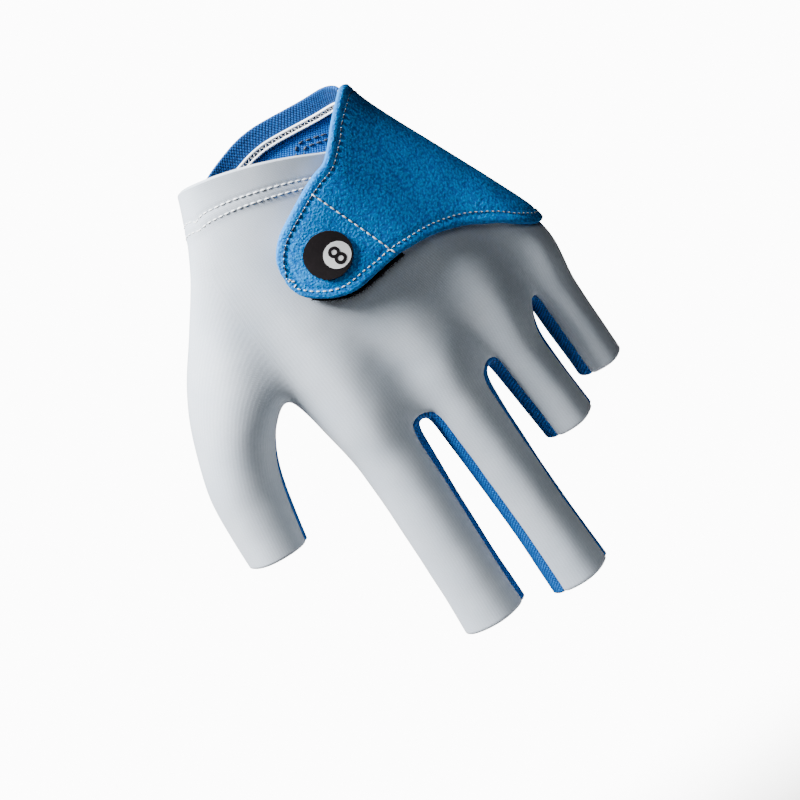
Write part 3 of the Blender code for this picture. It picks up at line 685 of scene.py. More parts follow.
def finish_piece(name, bm, *finishes):
    """The finished mesh as an object, without the attributes that only helped to make it."""
    bmesh.ops.recalc_face_normals(bm, faces=bm.faces[:])
    mesh = bpy.data.meshes.new(name)
    bm.to_mesh(mesh)
    bm.free()
    for attribute in ("outward", "opening", "piece", "thick", "rim_out"):
        if attribute in mesh.attributes:
            mesh.attributes.remove(mesh.attributes[attribute])
    for finish in finishes:
        mesh.materials.append(finish)
    mesh.shade_smooth()
    made = bpy.data.objects.new(name + "_cloth", mesh)
    scene.collection.objects.link(made)
    return made


def ripple(point, waves):
    """The height of slow waves at a point. Each row has how many there are to a metre, and how high."""
    return sum(noise.noise(point * number) * height for number, height in waves)


def hem_share(below):
    """1 on the folded hem, falling to 0 past its inner edge."""
    return 1 - smooth_step(*HEM_END, below)


def back_relief(point, column_way, below):
    """The hem's second layer, its stitched grooves and the cloth's faint waves."""
    stand = HEM_STEP * hem_share(below) + ripple(point, CLOTH_WAVES)
    for row in HEM_ROWS:
        dimple = 0.5 + 0.5 * math.cos(math.tau * column_way / STITCH_PITCH)
        stand -= (HEM_GROOVE + HEM_DIMPLE * dimple) * math.exp(-(((below - row) / HEM_GROOVE_WIDTH) ** 2))
    return stand


back_cloth = cut_panel(
    "back_panel", lambda below: CLOTH_WALL + HEM_LAYER * hem_share(below), back_relief, tricot)
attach(back_cloth, "root")
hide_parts("back_panel")


# Palm panel and the three strips between the fingers: blue polyester mesh, knitted with small holes
# so that the hand stays dry. The strips are sewn to the back and the palm with the edges turned in.
MESH_WALL = 0.0008
MESH_WAVES = ((70, 0.00018),)
HOLE_SPACING = 0.0011
FUZZ = 0.00111


def meshed(name, hole, yarn, spacing, roughness):
    """A knit with staggered rows of holes, whose dark speckle is painted shade in the holes, and a little
    shine between them.

    Its real holes are 0.6 mm apart, so spacing draws them coarser.
    """
    made, tree, shader = principled(name, roughness, sheen=0.06, sheen_tint="#7fb4ff", specular=0.2)
    cloth_map = add_node(tree, "ShaderNodeUVMap", uv_map="cloth").outputs["UV"]
    axes = add_node(tree, "ShaderNodeSeparateXYZ", {0: cloth_map}).outputs
    waves = []
    for sign in (1, -1):
        slant = add_node(tree, "ShaderNodeMath", {
            0: axes[1], 1: float(sign), 2: axes[0]}, operation="MULTIPLY_ADD")
        turn = add_node(tree, "ShaderNodeMath", {
            0: slant.outputs[0], 1: math.pi / spacing}, operation="MULTIPLY")
        waves.append(add_node(tree, "ShaderNodeMath", {0: turn.outputs[0]}, operation="SINE").outputs[0])
    cross = add_node(tree, "ShaderNodeMath", {0: waves[0], 1: waves[1]}, operation="MULTIPLY").outputs[0]
    depth = add_node(tree, "ShaderNodeMath", {0: cross}, operation="ABSOLUTE").outputs[0]
    height = add_node(tree, "ShaderNodeMapRange", {"Value": depth, "From Min": 0.05, "From Max": 0.75},
                      interpolation_type="SMOOTHSTEP").outputs[0]
    solid_place = add_node(tree, "ShaderNodeTexCoord").outputs["Object"]
    fuzz = add_node(tree, "ShaderNodeTexNoise", {
        "Vector": solid_place, "Scale": 1 / FUZZ, "Detail": 2}).outputs["Fac"]
    share = add_node(tree, "ShaderNodeMath", {0: height, 1: fuzz}, operation="MULTIPLY").outputs[0]
    share = add_node(tree, "ShaderNodeMapRange", {
        "Value": share, "From Min": 0.0, "From Max": 0.55}).outputs[0]
    # The hole colour is painted shade in the knit's holes; the yarn colour shows on the raised rows between
    # them.
    tree.links.new(shaded(tree, share, hole, yarn), shader.inputs["Base Color"])
    bump = add_node(tree, "ShaderNodeBump", {"Height": height, "Strength": 0.6, "Distance": 0.00025})
    tree.links.new(bump.outputs[0], shader.inputs["Normal"])
    return made


# Palm mesh: the dark first colour is painted shade in its holes.
blue_knit = meshed("blue_polyester_mesh", "#053c86", "#1279d6", HOLE_SPACING, 0.62)


def mesh_relief(point, column_way, below):
    return ripple(point, MESH_WAVES)


palm_cloth = cut_panel("palm_panel", lambda below: MESH_WALL, mesh_relief, blue_knit)
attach(palm_cloth, "root")
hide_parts("palm_panel")
STRIP_CUTS = {
    "fourchette_index_middle": (0.026, 0.150, 0.0021),
    "fourchette_middle_ring": (0.026, 0.110, 0.0016),
    "fourchette_ring_little": (0.026, 0.075, 0.0011),
}
for name, (width, length, area) in STRIP_CUTS.items():
    strip = cut_panel(name, lambda below: MESH_WALL, mesh_relief, blue_knit)
    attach(strip, "root")
    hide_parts(name)


# Cuff elastic: a woven rubber-core band along the palm side of the wrist, in darker blue, sewn to the palm
# with its free 6.8 mm standing up. Its bird's-eye weave shows small dark dots, painted shade in the weave's
# pits, inside as well.
ELASTIC_WALL = 0.0012
ELASTIC_WAVES = ((90, 0.0001),)
RIB_PITCH = 0.0016
RIB_HEIGHT = 0.00004
DOT_SPACING = 0.00135
# The first colour is painted shade in the weave's pits.
blue_weave = meshed("blue_woven_elastic", "#03234a", "#084f96", DOT_SPACING, 0.8)


def elastic_relief(point, column_way, below):
    return math.sin(math.tau * below / RIB_PITCH) * RIB_HEIGHT + ripple(point, ELASTIC_WAVES)


elastic = cut_panel("cuff_elastic", lambda below: ELASTIC_WALL, elastic_relief, blue_weave)
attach(elastic, "root")
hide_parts("cuff_elastic")


# Threads on the cloth: white lockstitches along the hem, and the white cover stitch that joins the elastic
# to the palm, which shows two loop lines with a zigzag between them on the inside.
THREAD = 0.00034
TWIST = 0.000398
CUFF_REACH = 0.04
HEM_SPANS = ((0, LITTLE_SIDE + 1), (THUMB_SIDE - 1, THUMB_SIDE + 1))
HEM_THREAD_HEIGHT = 0.00020
COVER_SPAN = (LITTLE_SIDE, THUMB_SIDE - 1)
COVER_ROWS = (0.0057, 0.0075)
COVER_PITCH = 3
COVER_INSIDE = -ELASTIC_WALL - 0.0003
COVER_OUTSIDE = 0.00012


def path_group(name, sizes, finishes):
    """A node tree for mesh paths, with inputs for sizes and finishes. Returns it, them and the curve."""
    made = bpy.data.node_groups.new(name, "GeometryNodeTree")
    made.interface.new_socket("Geometry", in_out="INPUT", socket_type="NodeSocketGeometry")
    for size in sizes:
        made.interface.new_socket(size, in_out="INPUT", socket_type="NodeSocketFloat")
    for finish in finishes:
        made.interface.new_socket(finish, in_out="INPUT", socket_type="NodeSocketMaterial")
    made.interface.new_socket("Geometry", in_out="OUTPUT", socket_type="NodeSocketGeometry")
    given = add_node(made, "NodeGroupInput").outputs
    return made, given, add_node(made, "GeometryNodeMeshToCurve", {"Mesh": given["Geometry"]}).outputs[0]


def stitch_tree():
    """Stitches along a path: a thread pulled down at both ends, with a bead between two at the needle hole,
    which its Hole finish paints as shade, and as a glint of the thread on the strap's upper edge.
    """
    made, given, path = path_group(
        "stitch_row", ("Pitch", "Stitch length", "Thread width", "Hole width"), ("Thread", "Hole"))
    half = add_node(made, "ShaderNodeMath", {0: given["Pitch"], 1: 0.5}, operation="MULTIPLY").outputs[0]
    later = add_node(made, "GeometryNodeTrimCurve", {0: path, 4: half, 5: 10.0}, mode="LENGTH").outputs[0]
    ball, bead = (
        add_node(made, "GeometryNodeMeshUVSphere", {
            "Segments": segments, "Rings": rings, "Radius": 0.5}).outputs["Mesh"]
        for segments, rings in ((8, 6), (6, 4)))
    parts = []
    for way, shape, long, wide, finish in (
        (path, ball, given["Stitch length"], given["Thread width"], given["Thread"]),
        (later, bead, given["Hole width"], given["Hole width"], given["Hole"]),
    ):
        points = add_node(made, "GeometryNodeCurveToPoints", {
            "Curve": way, "Length": given["Pitch"]}, mode="LENGTH")
        turn = add_node(made, "FunctionNodeAlignRotationToVector", {
            "Vector": points.outputs["Tangent"]}, axis="Z")
        scale = add_node(made, "ShaderNodeCombineXYZ", {"X": wide, "Y": wide, "Z": long}).outputs[0]
        placed = add_node(made, "GeometryNodeInstanceOnPoints", {
            "Points": points.outputs["Points"], "Instance": shape,
            "Rotation": turn.outputs[0], "Scale": scale})
        solid = add_node(made, "GeometryNodeRealizeInstances", {0: placed.outputs[0]}).outputs[0]
        parts.append(add_node(made, "GeometryNodeSetMaterial", {
            "Geometry": solid, "Material": finish}).outputs[0])
    whole = add_node(made, "GeometryNodeJoinGeometry")
    for part in parts:
        made.links.new(part, whole.inputs[0])
    smooth = add_node(made, "GeometryNodeSetShadeSmooth", {0: whole.outputs[0]})
    add_node(made, "NodeGroupOutput", {0: smooth.outputs[0]})
    return made


def thread_tree():
    """A thread of round section along each path."""
    made, given, path = path_group("laid_thread", ("Thread width",), ("Thread",))
    radius = add_node(made, "ShaderNodeMath", {
        0: given["Thread width"], 1: 0.5}, operation="MULTIPLY").outputs[0]
    ring = add_node(made, "GeometryNodeCurvePrimitiveCircle", {"Resolution": 6, "Radius": radius}).outputs[0]
    tube = add_node(made, "GeometryNodeCurveToMesh", {
        "Curve": path, "Profile Curve": ring, "Fill Caps": True})
    solid = add_node(made, "GeometryNodeRealizeInstances", {0: tube.outputs[0]}).outputs[0]
    smooth = add_node(made, "GeometryNodeSetShadeSmooth", {0: solid}).outputs[0]
    done = add_node(made, "GeometryNodeSetMaterial", {
        "Geometry": smooth, "Material": given["Thread"]}).outputs[0]
    add_node(made, "NodeGroupOutput", {0: done})
    return made


def made_along(name, paths, group, values):
    """Runs a node group along paths of points, and keeps the result as a plain mesh on the glove."""
    mesh = bpy.data.meshes.new(name)
    points, edges = [], []
    for path in paths:
        start = len(points)
        points.extend(path)
        edges.extend((start + i, start + i + 1) for i in range(len(path) - 1))
    mesh.from_pydata(points, edges, [])
    guide_object = bpy.data.objects.new(name + "_path", mesh)
    scene.collection.objects.link(guide_object)
    modifier = guide_object.modifiers.new(name, "NODES")
    modifier.node_group = group
    for item in group.interface.items_tree:
        if item.in_out == "INPUT" and item.name in values:
            modifier[item.identifier] = values[item.name]
    evaluated = guide_object.evaluated_get(bpy.context.evaluated_depsgraph_get())
    made = bpy.data.meshes.new_from_object(evaluated)
    bpy.data.objects.remove(guide_object)
    made.name = name
    piece = bpy.data.objects.new(name, made)
    scene.collection.objects.link(piece)
    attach(piece, "root")
    return piece


def thread_finish(name, colour, shade):
    """Spun polyester thread: shade is painted in the grooves of its twist, as soft darker turns 0.4 mm apart.
    """
    made, tree, shader = principled(name, 0.55, sheen=0.2)
    place = add_node(tree, "ShaderNodeTexCoord").outputs["Object"]
    twist = add_node(tree, "ShaderNodeTexWave", {
        "Vector": place, "Scale": BAND_SPACING / TWIST, "Distortion": 1.0,
    }, bands_direction="DIAGONAL").outputs["Fac"]
    tree.links.new(shaded(tree, twist, shade, colour), shader.inputs["Base Color"])
    return made


# The second colour of each thread is the painted shade in its twist's grooves.
white_thread = thread_finish("white_polyester_thread", "#ffffff", "#dfe4e7")
dark_thread = thread_finish("navy_polyester_thread", "#16273d", "#070d16")
# Beads at the needle holes: painted shade, dark on the strap and elastic, pale grey on the grey hem.
dark_hole_shade = thread_finish("needle_hole_painted_shade", "#1a2430", "#0a0f16")
pale_hole_shade = thread_finish("pale_needle_hole", "#8d959c", "#7a8289")
stitch_row = stitch_tree()
laid_thread = thread_tree()


def line_below_edge(depth, columns, height):
    """Points of the form at that depth below the wrist edge, in order round it, held off it by height."""
    bm = bmesh.new()
    bm.from_mesh(form)
    cloth = bm.loops.layers.uv["cloth"]
    outward = bm.verts.layers.float_vector["outward"]
    found = []
    low, high = (column * COLUMN_WIDTH for column in columns)
    for edge in bm.edges:
        if edge.verts[0].co.z < -CUFF_REACH:
            continue
        loop = edge.link_loops[0]
        other = loop.link_loop_next
        a, b = loop[cloth].uv, other[cloth].uv
        if (a.y - depth) * (b.y - depth) >= 0 or not low <= min(a.x, b.x) <= max(a.x, b.x) <= high:
            continue
        share = (depth - a.y) / (b.y - a.y)
        point = loop.vert.co.lerp(other.vert.co, share)
        normal = Vector(loop.vert[outward]).lerp(Vector(other.vert[outward]), share).normalized()
        found.append((mix(a.x, b.x, share), point + normal * height))
    bm.free()
    found.sort(key=lambda item: item[0])
    return [point for _, point in found]


hem_paths = [line_below_edge(row, span, HEM_THREAD_HEIGHT) for span in HEM_SPANS for row in HEM_ROWS]
# Grey beads between the hem's stitches are painted shade in the needle holes.
made_along("hem_stitches", hem_paths, stitch_row, {
    "Pitch": STITCH_PITCH, "Stitch length": 0.0015, "Thread width": THREAD * 1.35, "Hole width": 0.00035,
    "Thread": white_thread, "Hole": pale_hole_shade})
cover_lines = [line_below_edge(row, COVER_SPAN, COVER_INSIDE) for row in COVER_ROWS]
made_along("cover_stitch_lines", cover_lines, laid_thread, {
    "Thread width": 0.0009, "Thread": white_thread})
shortest = min(len(line) for line in cover_lines)
turns = [cover_lines[i // COVER_PITCH % 2][i] for i in range(0, shortest, COVER_PITCH)]
made_along("cover_stitch_zigzag", [turns], laid_thread, {
    "Thread width": 0.00062, "Thread": white_thread})
# Navy dashes and dark beads midway between the two lines are painted shade in the gaps between the loops.
between = [(a + b) / 2 for a, b in zip(*cover_lines)]
made_along("cover_stitch_gap_shade", [between], stitch_row, {
    "Pitch": COVER_PITCH * COLUMN_WIDTH / 2**FORM_LEVELS, "Stitch length": 0.0008, "Thread width": 0.0006,
    "Hole width": 0.0003, "Thread": dark_thread, "Hole": dark_hole_shade})
outer_lines = [line_below_edge(row, COVER_SPAN, COVER_OUTSIDE) for row in COVER_ROWS]
made_along("cover_stitch_outside", outer_lines, stitch_row, {
    "Pitch": STITCH_PITCH, "Stitch length": 0.0021, "Thread width": THREAD, "Hole width": 0.0003,
    "Thread": white_thread, "Hole": dark_hole_shade})


# Strap: blue microfibre suede on a backing, cut to shape, sewn on the palm, turned round the little-finger
# side and closed on the back with a rounded tab. Its cut edge is lighter and a thread runs 3 mm inside it.
STRAP_THICKNESS = 0.0014
STRAP_CLEARANCE = 0.00075
PAD_THICKNESS = 0.0007
PAD_CLEARANCE = 0.0004
HOOK_MARGIN = 0.0022
LOOP_PEEK = 0.0021
LOOP_MARGIN = 0.0033
AXIS_SHARE = 0.8
STRAP_STEPS = 9
STRAP_STRIPS = 44
STRAP_WAVES = ((60, 0.00025),)
EDGE_ROUNDING = 0.22
EDGE_TO_THREAD = 0.0029
THREAD_GROOVE = 0.00022
THREAD_GROOVE_WIDTH = 0.0008
CUT_THINNING = 0.00025
CUT_THINNING_WIDTH = 0.0007
STRAP_LINES = (
    dict(upper_turn=-63.6, upper=0.372, lower_turn=-64.1, lower=0.398, lift=1),
    dict(upper_turn=-62.3, upper=0.337, lower_turn=-63.7, lower=0.428, lift=1),
    dict(upper_turn=-58.5, upper=0.292, lower_turn=-61.0, lower=0.460, lift=1),
    dict(upper_turn=-49.5, upper=0.245, lower_turn=-54.5, lower=0.494, lift=1),
    dict(upper_turn=-36.0, upper=0.209, lower_turn=-44.5, lower=0.511, lift=1),
    dict(upper_turn=-17.0, upper=0.173, lower_turn=-26.0, lower=0.505, lift=1),
    dict(upper_turn=0.0, upper=0.150, lower_turn=-5.0, lower=0.499, lift=1),
    dict(upper_turn=13.5, upper=0.139, lower_turn=12.0, lower=0.506, lift=0.9),
    dict(upper_turn=29.0, upper=0.103, lower_turn=30.0, lower=0.519, lift=0.45),
    dict(upper_turn=43.5, upper=0.061, lower_turn=46.0, lower=0.542, lift=0.10),
    dict(upper_turn=57.0, upper=0.026, lower_turn=59.0, lower=0.573, lift=0),
    dict(upper_turn=68.5, upper=0.006, lower_turn=68.0, lower=0.622, lift=0),
    dict(upper_turn=80.0, upper=0.018, lower_turn=75.0, lower=0.686, lift=0),
    dict(upper_turn=91.0, upper=0.036, lower_turn=83.0, lower=0.722, lift=0),
    dict(upper_turn=102.0, upper=0.054, lower_turn=95.0, lower=0.728, lift=0),
    dict(upper_turn=113.0, upper=0.073, lower_turn=107.0, lower=0.712, lift=0),
    dict(upper_turn=124.0, upper=0.096, lower_turn=118.0, lower=0.680, lift=0),
    dict(upper_turn=137.0, upper=0.120, lower_turn=128.0, lower=0.640, lift=0),
    dict(upper_turn=152.0, upper=0.145, lower_turn=140.0, lower=0.590, lift=0),
    dict(upper_turn=168.0, upper=0.170, lower_turn=155.0, lower=0.540, lift=0),
    dict(upper_turn=181.0, upper=0.205, lower_turn=170.0, lower=0.480, lift=0),
    dict(upper_turn=188.0, upper=0.265, lower_turn=183.0, lower=0.410, lift=0),
)
LOOP_TOP = PAD_CLEARANCE + PAD_THICKNESS
HOOK_LOW = LOOP_TOP + PAD_CLEARANCE
STRAP_HIGH = HOOK_LOW + PAD_THICKNESS + PAD_CLEARANCE


def tree_of(mesh):
    bm = bmesh.new()
    bm.from_mesh(mesh)
    made = BVHTree.FromBMesh(bm)
    bm.free()
    return made


guide_tree = tree_of(guide_form)


def curve_at(rows, column, position):
    """The smooth curve through a table's column, where position is a row number with its fraction."""
    last = len(rows) - 2
    i = min(int(position), last)
    share = position - i
    before, a, b, after = (rows[min(max(k, 0), last + 1)][column] for k in (i - 1, i, i + 1, i + 2))
    return smooth_between(a, b, (b - before) / 2, (after - a) / 2, share)


def hand_axis(height):
    """The point inside the hand at a height, from which turns round it are counted."""
    return Vector((-height / PALM_LENGTH * (HAND_WIDTH - WRIST_WIDTH) * AXIS_SHARE, 0, height))


def on_guide(turn, drop):
    """The bridged form's point at that turn and share of the palm's length, and its axis point."""
    axis = hand_axis(-drop * PALM_LENGTH)
    angle = math.radians(turn)
    outward = Vector((math.sin(angle), -math.cos(angle), 0))
    return guide_tree.ray_cast(axis, outward, HAND_WIDTH)[0], axis


def laid_grid(lines, steps, strips):
    """A grid of the bridged form's points between the lines' two ends, each with its axis point and lift."""
    grid = []
    for i in range(steps * (len(lines) - 1) + 1):
        upper_turn, upper, lower_turn, lower, lift = (
            curve_at(lines, column, i / steps)
            for column in ("upper_turn", "upper", "lower_turn", "lower", "lift"))
        row = []
        for j in range(strips + 1):
            point, axis = on_guide(mix(upper_turn, lower_turn, j / strips), mix(upper, lower, j / strips))
            row.append((point, axis, lift))
        grid.append(row)
    return grid


def laid_sheet(name, lines, steps, strips, height, thickness, relief, *finishes):
    """A sheet laid round the hand, with rounded edges. Returns the piece, and its rim's points and ways in.

    height gives its clearance from a line's lift, and relief its waves from a place and its way to the rim.
    """
    bm = bmesh.new()
    cloth = bm.loops.layers.uv.new("cloth")
    outward = bm.verts.layers.float_vector.new("outward")
    thick = bm.verts.layers.float.new("thick")
    rim_out = bm.verts.layers.float_vector.new("rim_out")
    grid = laid_grid(lines, steps, strips)
    verts = [[bm.verts.new(point) for point, _, _ in row] for row in grid]
    run = 0
    middle = strips // 2
    for above, below in zip(verts, verts[1:]):
        step = (below[middle].co - above[middle].co).length
        width = (above[0].co - above[-1].co).length
        for j in range(strips):
            face = bm.faces.new((above[j], above[j + 1], below[j + 1], below[j]))
            sides = [(k / strips - 0.5) * width for k in (j, j + 1, j + 1, j)]
            for loop, side, way in zip(face.loops, sides, (run, run, run + step, run + step)):
                loop[cloth].uv = (way, side)
        run += step
    bm.normal_update()
    point, axis, _ = grid[len(grid) // 2][middle]
    side = 1 if verts[len(grid) // 2][middle].normal.dot(point - axis) > 0 else -1
    rim = [row[0] for row in verts] + verts[-1][1:-1]
    rim += [row[-1] for row in reversed(verts)] + verts[0][-2:0:-1]
    near_rim = KDTree(len(rim))
    for count, vert in enumerate(rim):
        near_rim.insert(vert.co, count)
    near_rim.balance()
    shifts = []
    for row, points in zip(verts, grid):
        for vert, (_, _, lift) in zip(row, points):
            edge = near_rim.find(vert.co)[2]
            vert[outward] = vert.normal * side
            vert[thick] = thickness
            stand = height(lift) + thickness + relief(vert.co, edge)
            shifts.append((vert, vert.normal * side * stand))
    for vert, shift in shifts:
        vert.co += shift
    outside = []
    for count, vert in enumerate(rim):
        tangent = (rim[(count + 1) % len(rim)].co - rim[count - 1].co).normalized()
        inward = sum((face.calc_center_median() - vert.co for face in vert.link_faces), Vector())
        inward = (inward - tangent * inward.dot(tangent)).normalized()
        vert[rim_out] = -inward * thickness * EDGE_ROUNDING
        outside.append((vert.co.copy(), inward))
    close_sheet(bm, 2, len(finishes) - 1)
    return finish_piece(name, bm, *finishes), outside


# Suede's nap lies in short streaks and tufts under 1 mm wide; its lighter streaks are partly its grain and
# partly painted glints of the brushed-up nap. It has no shine, and its cut edge shows the backing's fibres.
STREAK = 0.00087
TUFT = 0.00074
DRIFT = 0.0111
FIBRE = 0.000625
suede, tree, shader = principled("blue_microfibre_suede", 0.85, specular=0.12)
place = add_node(tree, "ShaderNodeTexCoord").outputs["Object"]
drift = add_node(tree, "ShaderNodeTexNoise", {
    "Vector": place, "Scale": 1 / DRIFT, "Detail": 3}).outputs["Fac"]
streaks = add_node(tree, "ShaderNodeTexNoise", {
    "Vector": place, "Scale": 1 / STREAK, "Detail": 5, "Roughness": 0.7, "Distortion": 1.6}).outputs["Fac"]
tufts = add_node(tree, "ShaderNodeTexVoronoi", {
    "Vector": place, "Scale": 1 / TUFT}, feature="SMOOTH_F1").outputs["Distance"]
nap = add_node(tree, "ShaderNodeMath", {0: tufts, 1: streaks}, operation="MULTIPLY").outputs[0]
nap_and_glint_share = add_node(tree, "ShaderNodeMapRange", {
    "Value": nap, "From Min": 0.10, "From Max": 0.30}).outputs[0]
# Light colour on the low nap, dark on the high: grain with painted glints.
body = shaded(tree, nap_and_glint_share, "#0099ec", "#006ac2")
drift_share = add_node(tree, "ShaderNodeMapRange", {
    "Value": drift, "From Min": 0.3, "From Max": 0.7}).outputs[0]
veil = shaded(tree, drift_share, "#e4e4e4", "#ffffff")
colour = add_node(tree, "ShaderNodeMix", {0: 1.0, 6: body, 7: veil}, data_type="RGBA", blend_type="MULTIPLY")
tree.links.new(colour.outputs[2], shader.inputs["Base Color"])
bump = add_node(tree, "ShaderNodeBump", {"Height": nap, "Strength": 1.0, "Distance": 0.0005}, invert=True)
tree.links.new(bump.outputs[0], shader.inputs["Normal"])


def mottled(name, roughness, spacing, detail, dark, light, **surface):
    """A finish of two close colours in spots. Returns the material, its tree, its shader and the spots."""
    made, tree, shader = principled(name, roughness, **surface)
    place = add_node(tree, "ShaderNodeTexCoord").outputs["Object"]
    spots = add_node(tree, "ShaderNodeTexNoise", {
        "Vector": place, "Scale": 1 / spacing, "Detail": detail}).outputs["Fac"]
    tree.links.new(shaded(tree, spots, dark, light), shader.inputs["Base Color"])
    return made, tree, shader, spots


cut_edge, *_ = mottled("suede_cut_edge", 0.9, FIBRE, 2, "#0560a8", "#1c80cc", sheen=0.05, specular=0.2)


def strap_relief(point, edge):
    """The groove that the thread pulls in, a thinner cut edge and the slow waves of a worn strap."""
    groove = THREAD_GROOVE * math.exp(-(((edge - EDGE_TO_THREAD) / THREAD_GROOVE_WIDTH) ** 2))
    thinned = CUT_THINNING * math.exp(-edge / CUT_THINNING_WIDTH)
    return ripple(point, STRAP_WAVES) - groove - thinned


strap_piece, strap_rim = laid_sheet(
    "strap", STRAP_LINES, STRAP_STEPS, STRAP_STRIPS,
    lambda lift: mix(STRAP_CLEARANCE, STRAP_HIGH, max(lift, 0)),
    STRAP_THICKNESS, strap_relief, suede, cut_edge)
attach(strap_piece, "root")
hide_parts("strap")
strap_tree = tree_of(strap_piece.data)


# The strap's threads: a row all round, 3 mm inside the cut edge, navy along the upper edge and white along
# the lower one, a white row across the tab, which holds the fastener's upper end, and two navy rows at
# the root on the palm. Dark beads in the needle holes are painted shade, and white beads between the
# upper edge's navy stitches are painted glints of the thread.
STRAP_FEELER = 0.001
STRAP_THREAD_HEIGHT = 0.0001
CROSS_ROW = ((-11.3, 0.198), (-4.3, 0.483))
CROSS_STEPS = 40
CROSS_THREAD_HEIGHT = 0.00012
ROOT_ROWS = (
    ((105, 0.165), (118, 0.150), (131.8, 0.139), (141.7, 0.124), (150, 0.115), (155, 0.117),
     (158.5, 0.127), (162.5, 0.145), (168, 0.19), (173, 0.26)),
    ((107, 0.185), (120, 0.170), (134.9, 0.155), (144.6, 0.142), (150, 0.136), (153, 0.140),
     (156, 0.152), (160, 0.175), (165, 0.21)),
)
ROOT_THREAD_DEPTH = 0.0002


def on_strap(point, outward, height):
    """The point of the strap's outside nearest to a point, held off it by height."""
    place, normal, _, _ = strap_tree.find_nearest(point + outward * STRAP_FEELER)
    return place + normal * height


perimeter = []
for point, inward in strap_rim:
    outward = (point - hand_axis(point.z)).normalized()
    perimeter.append(on_strap(point + inward * EDGE_TO_THREAD, outward, STRAP_THREAD_HEIGHT))
smoothed = []
for i in range(len(perimeter)):
    near = [perimeter[(i + k) % len(perimeter)] for k in (-2, -1, 0, 1, 2)]
    smoothed.append(sum(near, Vector()) / len(near))
upper_end = STRAP_STEPS * (len(STRAP_LINES) - 1) + 1
# The white beads between these navy stitches are painted glints of the thread.
made_along("strap_upper_stitches", [smoothed[:upper_end]], stitch_row, {
    "Pitch": 0.0021, "Stitch length": 0.0014, "Thread width": 0.00048, "Hole width": 0.00034,
    "Thread": dark_thread, "Hole": white_thread})
made_along("strap_lower_stitches", [smoothed[upper_end - 1:] + smoothed[:1]], stitch_row, {
    "Pitch": 0.0019, "Stitch length": 0.0011, "Thread width": 0.00042, "Hole width": 0.00048,
    "Thread": white_thread, "Hole": dark_hole_shade})
cross_path = []
for i in range(CROSS_STEPS + 1):
    point, axis = on_guide(*(mix(start, end, i / CROSS_STEPS) for start, end in zip(*CROSS_ROW)))
    outward = (point - axis).normalized()
    cross_path.append(on_strap(point + outward * STRAP_HIGH, outward, CROSS_THREAD_HEIGHT))
made_along("strap_cross_stitches", [cross_path], stitch_row, {
    "Pitch": 0.0022, "Stitch length": 0.0018, "Thread width": 0.00052, "Hole width": 0.00045,
    "Thread": white_thread, "Hole": dark_hole_shade})

# Inside the palm the strap's root shows as two rows of navy thread round its corner
palm_tree = tree_of(palm_cloth.data)
root_paths = []
for corners in ROOT_ROWS:
    path = []
    for start, end in zip(corners, corners[1:]):
        for share in (0, 0.25, 0.5, 0.75):
            point, axis = on_guide(*(mix(a, b, share) for a, b in zip(start, end)))
            outward = (point - axis).normalized()
            place = palm_tree.ray_cast(axis, outward)[0]
            if place:
                path.append(place - outward * ROOT_THREAD_DEPTH)
    root_paths.append(path)
made_along("strap_root_stitches", root_paths, stitch_row, {
    "Pitch": 0.0023, "Stitch length": 0.0018, "Thread width": 0.0007, "Hole width": 0.0004,
    "Thread": dark_thread, "Hole": dark_hole_shade})


# Hook-and-loop fastener under the tab: black knitted loop pile on the glove, and a black pad of hooks
# on the strap. Only the fuzzy lower edge of the pile shows. Each spans a stretch of the strap's lines.
LOOP_SPAN = (1.6, 6.3)
HOOK_SPAN = (1.0, 6.0)
PAD_ROWS = 6
PAD_STEPS = 8
LOOP_STRIPS = 36
HOOK_STRIPS = 30
PILE_WAVES = ((400, 0.0001),)
PILE_TUFT = 0.000833


def pad_lines(first, last, upper_margin, lower_margin):
    """Lines of a pad under the strap, from one of its lines to another, drawn in by the two margins."""
    lines = []
    for i in range(PAD_ROWS + 1):
        position = mix(first, last, i / PAD_ROWS)
        line = {column: curve_at(STRAP_LINES, column, position) for column in STRAP_LINES[0]}
        line["upper"] += upper_margin / PALM_LENGTH
        line["lower"] -= lower_margin / PALM_LENGTH
        lines.append(line)
    return lines


# Nylon pile swallows the light between its loops, with a faint sheen along the tufts
pile, tree, shader, tufts = mottled(
    "black_loop_pile", 0.95, PILE_TUFT, 3, "#050608", "#1c1f24", sheen=0.3, specular=0.2)
bump = add_node(tree, "ShaderNodeBump", {"Height": tufts, "Strength": 0.8, "Distance": 0.0004})
tree.links.new(bump.outputs[0], shader.inputs["Normal"])


def pad_relief(point, edge):
    return ripple(point, PILE_WAVES)


loop_piece, loop_rim = laid_sheet(
    "loop_pad", pad_lines(*LOOP_SPAN, LOOP_MARGIN, -LOOP_PEEK), PAD_STEPS, LOOP_STRIPS,
    lambda lift: PAD_CLEARANCE, PAD_THICKNESS, pad_relief, pile)
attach(loop_piece, "root")
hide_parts("loop_pad")


